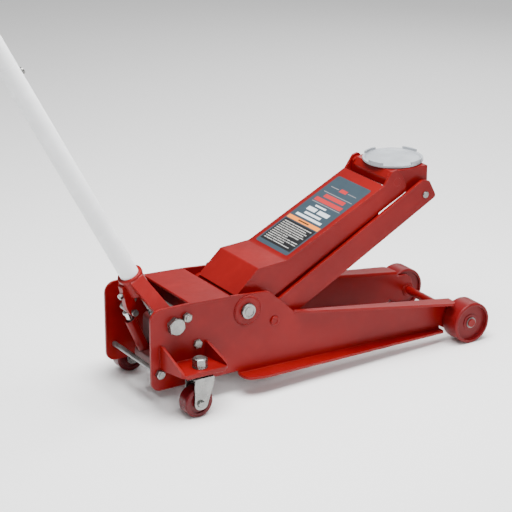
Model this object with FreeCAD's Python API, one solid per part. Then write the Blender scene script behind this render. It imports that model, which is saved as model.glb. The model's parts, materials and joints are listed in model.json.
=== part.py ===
import FreeCAD, Part
import math
import os

# Hydraulic trolley jack. Millimetres. +X points to the lifting end, +Y to the left, +Z up.
# Every length below is set out from the rear tie rod (X = 0) and the floor (Z = 0); the last
# step moves the whole jack so that its origin lies on the floor under the middle of its box.

V = FreeCAD.Vector

# ---------------------------------------------------------------- driving dimensions
FIT = 0.05              # running clearance on a radius
GAP = 0.5               # smallest gap between parts that pass each other

RAIL_INSIDE = 196.0     # distance between the side plates
RAIL_T = 6.0            # thickness of the side plates
PLATE_REAR_X = -20.0
PLATE_FRONT_X = 836.0
PLATE_TOP_Z = 246.0
PLATE_BOTTOM_Z = 56.0
DECK_REAR_X = 80.0
DECK_FRONT_X = 186.0
DECK_REAR_Z = 244.6
DECK_SLOPE = 0.0557     # fall of the deck per millimetre forward
DECK_T = 5.0
FLANGE_T = 6.0
FLANGE_BEND = 8.0
TOP_FLANGE_X = 358.0    # where the top flange leaves the hump
TOP_FLANGE_Z = 169.2
TOP_FLANGE_SLOPE = 0.153
TOP_FLANGE_END_X = 792.0
TOP_FLANGE_WIDE = 40.0
BOTTOM_FLANGE_X = 205.0
BOTTOM_FLANGE_Z = 43.0
BOTTOM_FLANGE_SLOPE = 0.0304
BOTTOM_FLANGE_END_X = 767.0
BOTTOM_FLANGE_WIDE = 42.0

TIE_X = 0.0
TIE_Z = 96.0
CROSS_X = 70.0
CROSS_Z = 215.0
ROD_D = 12.0            # tie rod and cross rod
NUT_AF = 19.0           # M12 nuts and unit bolts
NUT_H = 10.0

AXLE_X = 824.0
AXLE_D = 20.0
WHEEL_D = 100.0
WHEEL_W = 53.0
WHEEL_GAP = 2.5         # spacer between side plate and wheel
WHEEL_RIM = 7.0
WHEEL_DISH = 9.0
HUB_D = 40.0

PIVOT_X = 226.8         # main pivot of the lift arm
PIVOT_Z = 196.1
PIVOT_D = 30.0
PIVOT_CAP_D = PIVOT_D + 5.0
PIVOT_CAP_H = 10.0
BOSS_RING_D = 65.0
BOSS_RING_T = 3.0
LINK_DX = 73.0          # lower link pivot from the main pivot
LINK_DZ = -40.9
ARM_LENGTH = 476.9      # main pivot to head pin
ARM_ANGLE = 26.9        # slope of the arm as it stands
ARM_WIDTH = 160.0
ARM_T = 6.0
SLEEVE_D = 50.0
EAR_FRONT = 18.0        # front edge of the arm's ears beyond the head pin
EAR_RISE = 31.0
EAR_LOW = 36.0
ARM_HEEL_R = 33.0
HEAD_PIN_D = 20.0
DOUBLER_T = 5.0         # stiffening plates inside the arm's sides
DOUBLER_LOW = 52.0      # their lower edge under the arm's centre line

CRANK_R = 66.0          # main pivot to crank pin
CRANK_ANGLE = -80.5
CRANK_PIN_D = 22.0
LUG_T = 12.0
RAM_Z = 134.0
RAM_D = 34.0
RAM_HEAD_W = 40.0
RAM_HEAD_H = 46.0
SLOT_RISE = 9.5         # way of the crank pin up its slot in the ram head
SLOT_DROP = 2.0         # way of the crank pin down the slot
SLOT_PLAY = 0.9         # play of the crank pin fore and aft
SLOT_BACK = 0.35        # slot set back from the crank pin as it stands
PISTON_BACK = 117.0     # front of the piston behind the crank pin
PISTON_L = 18.0

ROD_W = 60.0            # radius rod, across
ROD_T = 8.0
ROD_GAP = 3.0           # gap between arm side and radius rod
LINK_PIN_D = 16.0
STUD_D = 22.0

HEAD_CHEEK_T = 7.0
HEAD_CHEEK_GAP = 1.0
HEAD_TOP_Z = 436.0
HEAD_TOP_T = 7.0
HEAD_FRONT_X = 742.0
SADDLE_X = 695.9
SADDLE_R = 71.0
SADDLE_Z = 443.1
SADDLE_T = 4.0
SADDLE_WALL = 4.5       # thickness of the saddle's rim
STEM_D = 24.0

HANDLE_PIVOT_X = 40.5
HANDLE_PIVOT_Z = 201.8
HANDLE_LEAN = 28.2      # lean of the handle to the rear, from upright
HANDLE_D = 43.0
HANDLE_WALL = 3.0
HANDLE_TOP = 1180.0     # handle pivot to the tip of the handle
HANDLE_JOINT = 690.0
SOCKET_D = 54.0
SOCKET_TOP = 111.0
SOCKET_LOW = 62.0
LEG_W = 33.0
LEG_T = 10.0
PIVOT_BOLT_D = 24.0
PIVOT_BOLT_AF = 36.0
SET_BOLT_UP = 78.0      # set bolt above the handle pivot
SET_BOLT_L = 22.0
GROOVE_DEEP = 1.5
ROLLER_R = 8.5
ROLLER_BACK = 39.0      # roller pin behind the handle axis
ROLLER_UP = 33.0        # roller pin above the handle pivot
ROLLER_PIN_D = 9.0

PUMP_Y = 24.0
PUMP_X = 1.0            # mouth of the pump barrel
PUMP_Z = 180.6
PUMP_LEAN = 23.5
PUMP_D = 26.0
PUMP_LENGTH = 95.0
PLUNGER_D = 14.0
PLUNGER_L = 78.0
PLUNGER_HEAD_D = 19.0
PLUNGER_LIFT = 1.8      # gap between plunger head and press roller at rest
CUP_DEPTH = 20.0

BLOCK_REAR = 48.0
BLOCK_FRONT = 100.0
BLOCK_HALF = 50.0
CYL_R = 29.0
BORE_R = 23.0
TANK_R = 42.0
GLAND_X = 150.0
GLAND_T = 11.0
BORE_REAR = 56.0
SPINDLE_D = 14.0
SPINDLE_L = 39.0        # release spindle's foot below the handle pivot
JOINT_BALL_R = 3.4

CASTER_X = 76.0
CASTER_Y = 150.0
CASTER_TRAIL = 12.0
CASTER_R = 35.0
CASTER_W = 34.0
FORK_T = 3.5
SHELF_Z = 112.0
SHELF_T = 6.0
SHELF_OUT = 178.0
REAR_WALL_RISE = 48.0    # rear wall of the caster bracket above its shelf
CASTER_STEM_D = 20.0
STEM_NUT_AF = 30.0
CASTER_AXLE_D = 10.0

# ---------------------------------------------------------------- derived sizes
HALF_IN = RAIL_INSIDE / 2
HALF_OUT = HALF_IN + RAIL_T
ARM_HALF = ARM_WIDTH / 2
WHEEL_R = WHEEL_D / 2
AXLE_Z = WHEEL_R
WHEEL_IN = HALF_OUT + WHEEL_GAP
WHEEL_OUT = WHEEL_IN + WHEEL_W
LINK_X = PIVOT_X + LINK_DX
LINK_Z = PIVOT_Z + LINK_DZ
ARM_COS = math.cos(math.radians(ARM_ANGLE))
ARM_SIN = math.sin(math.radians(ARM_ANGLE))
HEAD_X = PIVOT_X + ARM_LENGTH * ARM_COS
HEAD_Z = PIVOT_Z + ARM_LENGTH * ARM_SIN
TOP_PIN_X = HEAD_X + LINK_DX
TOP_PIN_Z = HEAD_Z + LINK_DZ
CRANK_X = PIVOT_X + CRANK_R * math.cos(math.radians(CRANK_ANGLE))
CRANK_Z = PIVOT_Z + CRANK_R * math.sin(math.radians(CRANK_ANGLE))
ROD_IN = ARM_HALF + ROD_GAP
ROD_OUT = ROD_IN + ROD_T
CHEEK_OUT = ARM_HALF - ARM_T - HEAD_CHEEK_GAP
CHEEK_IN = CHEEK_OUT - HEAD_CHEEK_T
UNIT_X = 97.0
UNIT_Z = 146.0


# ---------------------------------------------------------------- drawing helpers
def place(plane, a, b, c):
    """A point whose first two coordinates lie in the plane and whose third is across it."""
    if plane == "xz":
        return V(a, c, b)
    if plane == "xy":
        return V(a, b, c)
    return V(c, a, b)


def outline(points, plane, level):
    """A closed wire through points (a, b, radius); a radius above 0 rounds that corner."""
    corners = [(V(p[0], p[1], 0), p[2] if len(p) > 2 else 0.0) for p in points]
    ends = []
    count = len(corners)
    for i, (here, radius) in enumerate(corners):
        before = (corners[i - 1][0] - here).normalize()
        after = (corners[(i + 1) % count][0] - here).normalize()
        if radius <= 0:
            ends.append((here, None, here))
            continue
        half = before.getAngle(after) / 2
        run = radius / math.tan(half)
        middle = (before + after).normalize()
        top = here + middle * (radius / math.sin(half) - radius)
        ends.append((here + before * run, top, here + after * run))
    edges = []
    for i, (start, top, end) in enumerate(ends):
        a = place(plane, start.x, start.y, level)
        c = place(plane, end.x, end.y, level)
        if top is not None:
            b = place(plane, top.x, top.y, level)
            edges.append(Part.Arc(a, b, c).toShape())
        following = ends[(i + 1) % count][0]
        d = place(plane, following.x, following.y, level)
        if c.distanceToPoint(d) > 1e-6:
            edges.append(Part.LineSegment(c, d).toShape())
    return Part.Wire(edges)


def prism(points, plane, low, high):
    """A plate with the given outline, from low to high across the plane."""
    face = Part.Face(outline(points, plane, low))
    return face.extrude(place(plane, 0, 0, high - low))


def rod(radius, low, high, axis, a, b):
    """A cylinder along an axis: "y" takes (x, z), "z" takes (x, y), "x" takes (y, z)."""
    length = high - low
    if axis == "y":
        return Part.makeCylinder(radius, length, V(a, low, b), V(0, 1, 0))
    if axis == "z":
        return Part.makeCylinder(radius, length, V(a, b, low), V(0, 0, 1))
    return Part.makeCylinder(radius, length, V(low, a, b), V(1, 0, 0))


def pipe(outer, inner, low, high, axis, a, b):
    """A round tube along an axis."""
    return rod(outer, low, high, axis, a, b).cut(rod(inner, low - 1, high + 1, axis, a, b))


def hexagon(across, height, chamfer=1.5, hole=0.0):
    """A hexagon head or nut standing on Z = 0, its top corners turned down."""
    radius = across / math.sqrt(3)
    corners = [(radius * math.cos(math.radians(60 * i)), radius * math.sin(math.radians(60 * i))) for i in range(6)]
    body = prism(corners, "xy", 0, height)
    crown = Part.makeCylinder(radius, height - chamfer)
    crown = crown.fuse(Part.makeCone(radius, radius - 1.9 * chamfer, chamfer, V(0, 0, height - chamfer)))
    body = body.common(crown)
    if hole > 0:
        body = body.cut(Part.makeCylinder(hole, height + 2, V(0, 0, -1)))
    return body


def side_head(across, height, x, y, z, side, hole=0.0, turn=0.0):
    """A hexagon head standing on a side face; side is +1 or -1 along Y."""
    body = hexagon(across, height, hole=hole)
    body.rotate(V(0, 0, 0), V(0, 0, 1), turn)
    body.rotate(V(0, 0, 0), V(1, 0, 0), -90 * side)
    body.translate(V(x, y, z))
    return body


def mirrored(shape):
    """The same part for the other side."""
    return shape.mirror(V(0, 0, 0), V(0, 1, 0))


def both(shape):
    """The part and its mirror image, as separate solids of one node."""
    return Part.makeCompound([shape, mirrored(shape)])


def joined(first, *others):
    """One solid from several that overlap or meet."""
    body = first
    for other in others:
        body = body.fuse(other)
    return body.removeSplitter()


def leaning(shape):
    """Stands a part of the handle, drawn along +Z from its pivot, at the handle's lean."""
    shape.rotate(V(0, 0, 0), V(0, 1, 0), -HANDLE_LEAN)
    shape.translate(V(HANDLE_PIVOT_X, 0, HANDLE_PIVOT_Z))
    return shape


def pumping(shape):
    """Puts a part of the pump, drawn along +Z from the barrel's mouth, in its place."""
    shape.rotate(V(0, 0, 0), V(0, 1, 0), -PUMP_LEAN)
    shape.translate(V(PUMP_X, PUMP_Y, PUMP_Z))
    return shape


def deck_z(x):
    return DECK_REAR_Z - DECK_SLOPE * (x - DECK_REAR_X)


def top_flange_z(x):
    return TOP_FLANGE_Z - TOP_FLANGE_SLOPE * (x - TOP_FLANGE_X)


def bottom_flange_z(x):
    return BOTTOM_FLANGE_Z - BOTTOM_FLANGE_SLOPE * (x - BOTTOM_FLANGE_X)


# ---------------------------------------------------------------- chassis
def flange(start, end, height, slope, up, plan):
    """A bent flange: an L section run along a sloping line, trimmed to its plan outline."""
    web = 2 * FLANGE_BEND
    wide = 80.0
    inside = FLANGE_BEND - FLANGE_T
    section = [
        (HALF_IN, up * -web),
        (HALF_IN, 0, FLANGE_BEND),
        (HALF_IN + wide, 0),
        (HALF_IN + wide, up * -FLANGE_T),
        (HALF_OUT, up * -FLANGE_T, inside),
        (HALF_OUT, up * -web),
    ]
    face = Part.Face(outline(section, "yz", start))
    bar = face.extrude(V(end - start, 0, -slope * (end - start)))
    bar.translate(V(0, 0, height))
    return bar.common(prism(plan, "xy", -50, 400))


def side_plate():
    """The left side plate: web, hump over the pivot, sloping top flange, bottom flange."""
    deck_front = deck_z(DECK_FRONT_X)
    lap = 1.5 * FLANGE_BEND
    web_top = top_flange_z(TOP_FLANGE_X) - lap
    web_end = top_flange_z(TOP_FLANGE_END_X) - lap
    profile = [
        (PLATE_REAR_X, PLATE_BOTTOM_Z, 22),
        (PLATE_REAR_X, PLATE_TOP_Z, 26),
        (DECK_REAR_X, DECK_REAR_Z),
        (DECK_REAR_X, DECK_REAR_Z - DECK_T),
        (DECK_FRONT_X, deck_front - DECK_T),
        (DECK_FRONT_X, deck_front),
        (LINK_X - 15, deck_front - 9, 24),
        (TOP_FLANGE_X + 4, web_top, 12),
        (TOP_FLANGE_END_X, web_end),
        (PLATE_FRONT_X, web_end, 24),
        (PLATE_FRONT_X, 24, 16),
        (BOTTOM_FLANGE_END_X + 20, 26, 20),
        (BOTTOM_FLANGE_END_X, bottom_flange_z(BOTTOM_FLANGE_END_X) + lap),
        (BOTTOM_FLANGE_X, bottom_flange_z(BOTTOM_FLANGE_X) + lap),
    ]
    web = prism(profile, "xz", HALF_IN, HALF_OUT)
    top_plan = [
        (TOP_FLANGE_X - 6, HALF_IN - 1),
        (TOP_FLANGE_X - 6, HALF_OUT + 2),
        (TOP_FLANGE_X + 20, HALF_OUT + 14, 20),
        (TOP_FLANGE_END_X - 4, HALF_OUT + TOP_FLANGE_WIDE, 14),
        (TOP_FLANGE_END_X, HALF_OUT + 3, 2),
        (TOP_FLANGE_END_X, HALF_IN - 1),
    ]
    start = TOP_FLANGE_X - 6
    top = flange(start, TOP_FLANGE_END_X, top_flange_z(start), TOP_FLANGE_SLOPE, 1, top_plan)
    bottom_plan = [
        (BOTTOM_FLANGE_X, HALF_IN - 1),
        (BOTTOM_FLANGE_X, HALF_OUT + BOTTOM_FLANGE_WIDE - 8, 24),
        (BOTTOM_FLANGE_X + 44, HALF_OUT + BOTTOM_FLANGE_WIDE, 20),
        (BOTTOM_FLANGE_END_X, HALF_OUT + BOTTOM_FLANGE_WIDE / 2, 5),
        (BOTTOM_FLANGE_END_X, HALF_IN - 1),
    ]
    start = BOTTOM_FLANGE_X
    low = bottom_flange_z(start)
    bottom = flange(start, BOTTOM_FLANGE_END_X, low, BOTTOM_FLANGE_SLOPE, -1, bottom_plan)
    body = joined(web, top, bottom)
    holes = [
        (ROD_D / 2, TIE_X, TIE_Z),
        (ROD_D / 2, CROSS_X, CROSS_Z),
        (ROD_D / 2, UNIT_X, UNIT_Z),
        (PIVOT_D / 2, PIVOT_X, PIVOT_Z),
        (STUD_D / 2, LINK_X, LINK_Z),
        (PIVOT_BOLT_D / 2, HANDLE_PIVOT_X, HANDLE_PIVOT_Z),
        (AXLE_D / 2, AXLE_X, AXLE_Z),
    ]
    for radius, x, z in holes:
        body = body.cut(rod(radius + FIT, HALF_IN - 5, HALF_OUT + 5, "y", x, z))
    return body


def deck_cover():
    """The sloping cover plate on top of the rear of the chassis, with its bent front lip."""
    rear = DECK_REAR_Z
    front = deck_z(DECK_FRONT_X)
    sheet = [(DECK_REAR_X, rear, 1.5), (DECK_FRONT_X, front, 3), (DECK_FRONT_X, front - DECK_T), (DECK_REAR_X, rear - DECK_T)]
    deck = prism(sheet, "xz", -HALF_OUT, HALF_OUT)
    lip_front = DECK_FRONT_X - 0.5
    lip = [(lip_front - DECK_T, front - DECK_T - 20, 2), (lip_front, front - DECK_T - 20, 2), (lip_front, front - 3), (lip_front - DECK_T, front - 3)]
    inside = HALF_IN - FIT
    return joined(deck, prism(lip, "xz", -inside, inside))


def caster_bracket():
    """The left caster bracket: a shelf, two slanted end walls and a rolled outer edge."""
    rear = CASTER_X - 58
    rear_in = CASTER_X - 74
    front = CASTER_X + 60
    front_in = CASTER_X + 46
    top = SHELF_Z
    low = SHELF_Z - SHELF_T
    plan = [(rear_in, HALF_OUT), (rear, SHELF_OUT, 10), (front, SHELF_OUT, 10), (front_in, HALF_OUT)]
    body = prism(plan, "xy", low, top)
    reach = SHELF_OUT - HALF_OUT
    for corner, run, rise, side in ((rear_in, rear - rear_in, REAR_WALL_RISE, 1), (front_in, front - front_in, 36, -1)):
        wall = [
            (HALF_OUT - 2, low),
            (HALF_OUT - 2, top + rise),
            (HALF_OUT + 8, top + rise, 4),
            (SHELF_OUT + 2, top + 2, 8),
            (SHELF_OUT + 2, low),
        ]
        plate = prism(wall, "yz", corner if side > 0 else corner - SHELF_T, corner + SHELF_T if side > 0 else corner)
        plate.rotate(V(corner, HALF_OUT, 0), V(0, 0, 1), -math.degrees(math.atan2(run, reach)))
        body = body.fuse(plate)
    body = body.removeSplitter().common(prism(plan, "xy", 0, 300))
    lip = [(SHELF_OUT - 7, low - 5, 3), (SHELF_OUT - 7, top), (SHELF_OUT, top, 5), (SHELF_OUT, low - 5, 2)]
    body = joined(body, prism(lip, "yz", rear + 10, front - 12))
    return body.cut(rod(CASTER_STEM_D / 2 + FIT, low - 20, top + 20, "z", CASTER_X, CASTER_Y))


def rod_nuts():
    """The nuts on both ends of the tie rod and of the cross rod."""
    nuts = []
    for x, z, turn in ((TIE_X, TIE_Z, 0), (CROSS_X, CROSS_Z, 25)):
        for side in (-1, 1):
            nuts.append(side_head(NUT_AF, NUT_H, x, side * HALF_OUT, z, side, ROD_D / 2 + FIT, turn))
    return Part.makeCompound(nuts)


def through_rod(x, z):
    reach = HALF_OUT + NUT_H + 2
    return rod(ROD_D / 2, -reach, reach, "y", x, z)


def front_axle():
    """The round axle through both side plates, with a weld collar inside each plate."""
    reach = WHEEL_OUT - WHEEL_DISH + 7
    body = rod(AXLE_D / 2, -reach, reach, "y", AXLE_X, AXLE_Z)
    for side in (-1, 1):
        groove = side * (WHEEL_OUT - WHEEL_DISH + 3.5)
        ring = pipe(AXLE_D / 2 + 2, AXLE_D / 2 - 1, groove - 1, groove + 1, "y", AXLE_X, AXLE_Z)
        body = body.cut(ring)
        collar = rod(AXLE_D / 2 + 4, HALF_IN - 5, HALF_IN - FIT, "y", AXLE_X, AXLE_Z)
        if side < 0:
            collar = mirrored(collar)
        body = body.fuse(collar)
    return body.removeSplitter()


def axle_spacers():
    return both(pipe(AXLE_D / 2 + 7, AXLE_D / 2 + FIT, HALF_OUT, WHEEL_IN - 0.4, "y", AXLE_X, AXLE_Z))


def axle_circlips():
    middle = WHEEL_OUT - WHEEL_DISH + 3.5
    ring = pipe(AXLE_D / 2 + 3, AXLE_D / 2 - 1 + FIT, middle - 0.8, middle + 0.8, "y", AXLE_X, AXLE_Z)
    return both(ring)


def front_wheel():
    """The left front wheel: a broad tread, dished faces and a raised hub ring."""
    body = rod(WHEEL_R, WHEEL_IN, WHEEL_OUT, "y", AXLE_X, AXLE_Z)
    rims = [e for e in body.Edges if abs(e.Length - 2 * math.pi * WHEEL_R) < 1]
    body = body.makeFillet(4, rims)
    dish = WHEEL_R - WHEEL_RIM
    for low, high in ((WHEEL_OUT - WHEEL_DISH, WHEEL_OUT + 1), (WHEEL_IN - 1, WHEEL_IN + 5)):
        body = body.cut(rod(dish, low, high, "y", AXLE_X, AXLE_Z))
    hub = rod(HUB_D / 2, WHEEL_IN, WHEEL_OUT - WHEEL_DISH + 2, "y", AXLE_X, AXLE_Z)
    body = body.fuse(hub)
    return body.cut(rod(AXLE_D / 2 + FIT, WHEEL_IN - 2, WHEEL_OUT + 2, "y", AXLE_X, AXLE_Z)).removeSplitter()


def main_pivot_pin():
    """The pivot pin with a thick plated cap on each end."""
    body = rod(PIVOT_D / 2, -HALF_OUT - BOSS_RING_T, HALF_OUT + BOSS_RING_T, "y", PIVOT_X, PIVOT_Z)
    cap = rod(PIVOT_CAP_D / 2, HALF_OUT + 0.2, HALF_OUT + PIVOT_CAP_H, "y", PIVOT_X, PIVOT_Z)
    rims = [e for e in cap.Edges if e.BoundBox.YMin > HALF_OUT + PIVOT_CAP_H - 0.1]
    cap = cap.makeChamfer(1.2, rims)
    face = HALF_OUT + PIVOT_CAP_H
    cap = cap.cut(pipe(PIVOT_CAP_D / 2 - 5, PIVOT_CAP_D / 2 - 7.5, face - 1.2, face + 1, "y", PIVOT_X, PIVOT_Z))
    return joined(body, cap, mirrored(cap))


def pivot_boss_rings():
    inner = PIVOT_CAP_D / 2 + 0.3
    ring = pipe(BOSS_RING_D / 2, inner, HALF_OUT, HALF_OUT + BOSS_RING_T, "y", PIVOT_X, PIVOT_Z)
    rims = [e for e in ring.Edges if e.BoundBox.YMin > HALF_OUT + 1 and e.BoundBox.XLength > BOSS_RING_D - 1]
    return both(ring.makeFillet(2.2, rims))


def link_studs():
    """The welded studs that the radius rods swing on."""
    stud = rod(STUD_D / 2, ROD_IN - 0.6, HALF_OUT + 4, "y", LINK_X, LINK_Z)
    rims = [e for e in stud.Edges if e.BoundBox.YMin > HALF_OUT + 3]
    stud = stud.makeFillet(1.5, rims)
    return both(stud.cut(rod(STUD_D / 2 - 5, HALF_OUT + 2.5, HALF_OUT + 6, "y", LINK_X, LINK_Z)))


def handle_pivot_bolts():
    """The two big bolts that the handle socket swings on."""
    solids = []
    for side in (-1, 1):
        head = side_head(PIVOT_BOLT_AF, 14, HANDLE_PIVOT_X, side * HALF_OUT, HANDLE_PIVOT_Z, side, 0, 38)
        shank = rod(PIVOT_BOLT_D / 2, 82, HALF_OUT + 1, "y", HANDLE_PIVOT_X, HANDLE_PIVOT_Z)
        if side < 0:
            shank = mirrored(shank)
        solids.append(head.fuse(shank).removeSplitter())
    return Part.makeCompound(solids)


def unit_bolts():
    """One bolt through each side plate into the pump block."""
    solids = []
    for side in (-1, 1):
        head = side_head(NUT_AF, 8, UNIT_X, side * HALF_OUT, UNIT_Z, side, 0, 5)
        shank = rod(ROD_D / 2, HALF_IN - 26, HALF_OUT + 1, "y", UNIT_X, UNIT_Z)
        if side < 0:
            shank = mirrored(shank)
        solids.append(head.fuse(shank).removeSplitter())
    return Part.makeCompound(solids)


# ---------------------------------------------------------------- hydraulic unit
def pump_block():
    """The cast block: cylinder seat, foot that holds the pump barrel, side bosses."""
    main = [(BLOCK_REAR, 88, 6), (BLOCK_REAR, 178, 10), (BLOCK_FRONT, 178, 6), (BLOCK_FRONT, 88, 6)]
    body = prism(main, "xz", -BLOCK_HALF, BLOCK_HALF)
    foot = [(22, 66, 6), (22, 104, 5), (BLOCK_FRONT, 104), (BLOCK_FRONT, 66, 8)]
    body = joined(body, prism(foot, "xz", -BLOCK_HALF + 6, BLOCK_HALF - 6))
    boss = rod(18, -HALF_IN + FIT, HALF_IN - FIT, "y", UNIT_X, UNIT_Z)
    body = joined(body, boss)
    body = body.cut(rod(TANK_R + 1, BLOCK_FRONT, BLOCK_FRONT + 40, "x", 0, RAM_Z))
    body = body.cut(rod(CYL_R + FIT, BORE_REAR, BLOCK_FRONT + 1, "x", 0, RAM_Z))
    body = body.cut(both(rod(ROD_D / 2 + FIT, HALF_IN - 27, HALF_IN + 1, "y", UNIT_X, UNIT_Z)))
    body = body.cut(pumping(Part.makeCylinder(PUMP_D / 2 + FIT, PUMP_LENGTH + FIT, V(0, 0, -PUMP_LENGTH))))
    body = body.cut(leaning(Part.makeCylinder(SPINDLE_D / 2 + FIT, 30, V(0, 0, -SPINDLE_L - FIT))))
    return body.cut(rod(6 + FIT, 170, 180, "z", 78, 28))


def cylinder_tube():
    return pipe(CYL_R, BORE_R, BORE_REAR, GLAND_X, "x", 0, RAM_Z)


def reservoir_tube():
    return pipe(TANK_R, TANK_R - 3.5, BLOCK_FRONT, GLAND_X, "x", 0, RAM_Z)


def gland_nut():
    """The end cap of the reservoir, with the hole the ram slides in."""
    cap = rod(TANK_R, GLAND_X, GLAND_X + GLAND_T, "x", 0, RAM_Z)
    return cap.cut(rod(RAM_D / 2 + FIT, GLAND_X - 1, GLAND_X + GLAND_T + 1, "x", 0, RAM_Z))


def filler_plug():
    plug = rod(6, 170, 178, "z", 78, 28)
    head = hexagon(17, 7)
    head.translate(V(78, 28, 178))
    return joined(plug, head)


def pump_barrel():
    """The pump's barrel, with a wide cup at the mouth and the plunger's bore below it."""
    body = Part.makeCylinder(PUMP_D / 2, PUMP_LENGTH, V(0, 0, -PUMP_LENGTH))
    body = body.cut(Part.makeCylinder(PLUNGER_D / 2 + FIT, PUMP_LENGTH - 5, V(0, 0, -PUMP_LENGTH + 5)))
    body = body.cut(Part.makeCylinder(PUMP_D / 2 - 2.6, CUP_DEPTH + 1, V(0, 0, -CUP_DEPTH)))
    return pumping(body)


def roller_height():
    """Height of the press roller above the barrel's mouth, measured along the barrel."""
    lean = math.radians(HANDLE_LEAN)
    x = HANDLE_PIVOT_X - ROLLER_BACK * math.cos(lean) - ROLLER_UP * math.sin(lean)
    z = HANDLE_PIVOT_Z - ROLLER_BACK * math.sin(lean) + ROLLER_UP * math.cos(lean)
    tilt = math.radians(PUMP_LEAN)
    return (x - PUMP_X) * -math.sin(tilt) + (z - PUMP_Z) * math.cos(tilt)


def pump_plunger():
    """The plunger with its round head under the press roller."""
    top = roller_height() - ROLLER_R - PLUNGER_LIFT
    body = Part.makeCylinder(PLUNGER_D / 2, PLUNGER_L, V(0, 0, top - PLUNGER_L))
    head = Part.makeCylinder(PLUNGER_HEAD_D / 2, 5, V(0, 0, top - 5))
    head = head.makeFillet(1.2, head.Edges)
    return pumping(joined(body, head))


def release_spindle():
    """The release valve's spindle with the forked lower half of its joint."""
    body = Part.makeCylinder(SPINDLE_D / 2, 12, V(0, 0, -SPINDLE_L))
    body = body.fuse(Part.makeCylinder(4.5, SPINDLE_L - 17, V(0, 0, 5 - SPINDLE_L)))
    fork = Part.makeCylinder(8, 12, V(0, 0, -14))
    fork = fork.cut(Part.makeBox(20, 2 * JOINT_BALL_R + 1.2, 10, V(-10, -JOINT_BALL_R - 0.6, -9)))
    return leaning(joined(body, fork))


def release_knuckle():
    """The ball-ended upper half of the joint, on a plug in the foot of the handle tube."""
    ball = Part.makeSphere(JOINT_BALL_R)
    neck = Part.makeCylinder(2.4, 10)
    shank = Part.makeCylinder(6, SOCKET_LOW + 2, V(0, 0, 8))
    plug = Part.makeCylinder(HANDLE_D / 2 - HANDLE_WALL - FIT, 12, V(0, 0, SOCKET_LOW + 4))
    return leaning(joined(shank, neck, ball, plug))


# ---------------------------------------------------------------- lift arm
def along_arm(distance, off):
    """A point at a distance along the arm's centre line and off it, upwards."""
    return (PIVOT_X + distance * ARM_COS - off * ARM_SIN, PIVOT_Z + distance * ARM_SIN + off * ARM_COS)


def top_line():
    """The bent line of the arm's top: slanted heel, short flat, long sloping top."""
    heel = along_arm(0.7, 32.0)
    knee = along_arm(77.3, 52.8)
    crown = along_arm(147.4, 21.4)
    end = along_arm(ARM_LENGTH - 34.7, 14.3)
    return heel, knee, crown, end


def arm_side():
    """One side of the arm, drawn flat: heel round the pivot, ear round the head pin."""
    heel, knee, crown, end = top_line()
    tip_rear = along_arm(ARM_LENGTH - 3, EAR_RISE)
    tip = along_arm(ARM_LENGTH + EAR_FRONT - 5, EAR_RISE - 4)
    front = along_arm(ARM_LENGTH + EAR_FRONT, 2)
    low_front = along_arm(ARM_LENGTH + EAR_FRONT - 4, -EAR_LOW)
    low_mid = along_arm(ARM_LENGTH - 42, -35.0)
    low_rear = along_arm(0, -ARM_HEEL_R)
    inner = ARM_HALF - ARM_T
    points = [
        heel,
        (*knee, 6),
        (*crown, 20),
        (*end, 4),
        (*tip_rear, 6),
        (*tip, 5),
        (*front, 10),
        (*low_front, 14),
        (*low_mid, 30),
        low_rear,
    ]
    body = prism(points, "xz", inner, ARM_HALF)
    body = body.fuse(rod(ARM_HEEL_R, inner, ARM_HALF, "y", PIVOT_X, PIVOT_Z))
    body = body.cut(rod(SLEEVE_D / 2 + FIT, 0, ARM_HALF + 5, "y", PIVOT_X, PIVOT_Z))
    return body.cut(rod(HEAD_PIN_D / 2 + FIT, 0, ARM_HALF + 5, "y", HEAD_X, HEAD_Z)).removeSplitter()


def arm_top():
    """The bent top plate between the arm's sides."""
    heel, knee, crown, end = top_line()
    turn = math.radians(ARM_ANGLE)
    down = V(math.sin(turn), 0, -math.cos(turn)) * ARM_T
    slant = math.atan2(knee[1] - heel[1], knee[0] - heel[0])
    side = (heel[0] + ARM_T * math.sin(slant), heel[1] - ARM_T * math.cos(slant))
    under_knee = (knee[0] + 0.8, knee[1] - 1.35 * ARM_T)
    under_crown = (crown[0] + 1.3, crown[1] - 1.05 * ARM_T)
    points = [heel, (*knee, 6), (*crown, 20), end, (end[0] + down.x, end[1] + down.z), under_crown, under_knee, side]
    inner = ARM_HALF - ARM_T
    return prism(points, "xz", -inner - 1, inner + 1)


def lift_arm():
    side = arm_side()
    low = [along_arm(300, -30), along_arm(306, -30), along_arm(306, 12), along_arm(300, 12)]
    rib = prism(low, "xz", -ARM_HALF + ARM_T - 1, ARM_HALF - ARM_T + 1)
    skirt = [
        (*along_arm(52, -8), 8),
        (*along_arm(ARM_LENGTH - 69, -8), 8),
        (*along_arm(ARM_LENGTH - 77, -DOUBLER_LOW), 12),
        (*along_arm(74, -DOUBLER_LOW), 12),
    ]
    doubler = prism(skirt, "xz", ARM_HALF - ARM_T - DOUBLER_T, ARM_HALF - ARM_T + 1)
    return joined(side, mirrored(side), arm_top(), rib, doubler, mirrored(doubler))


def arm_pivot_sleeve():
    reach = HALF_IN - GAP
    return pipe(SLEEVE_D / 2, PIVOT_D / 2 + FIT, -reach, reach, "y", PIVOT_X, PIVOT_Z)


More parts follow.
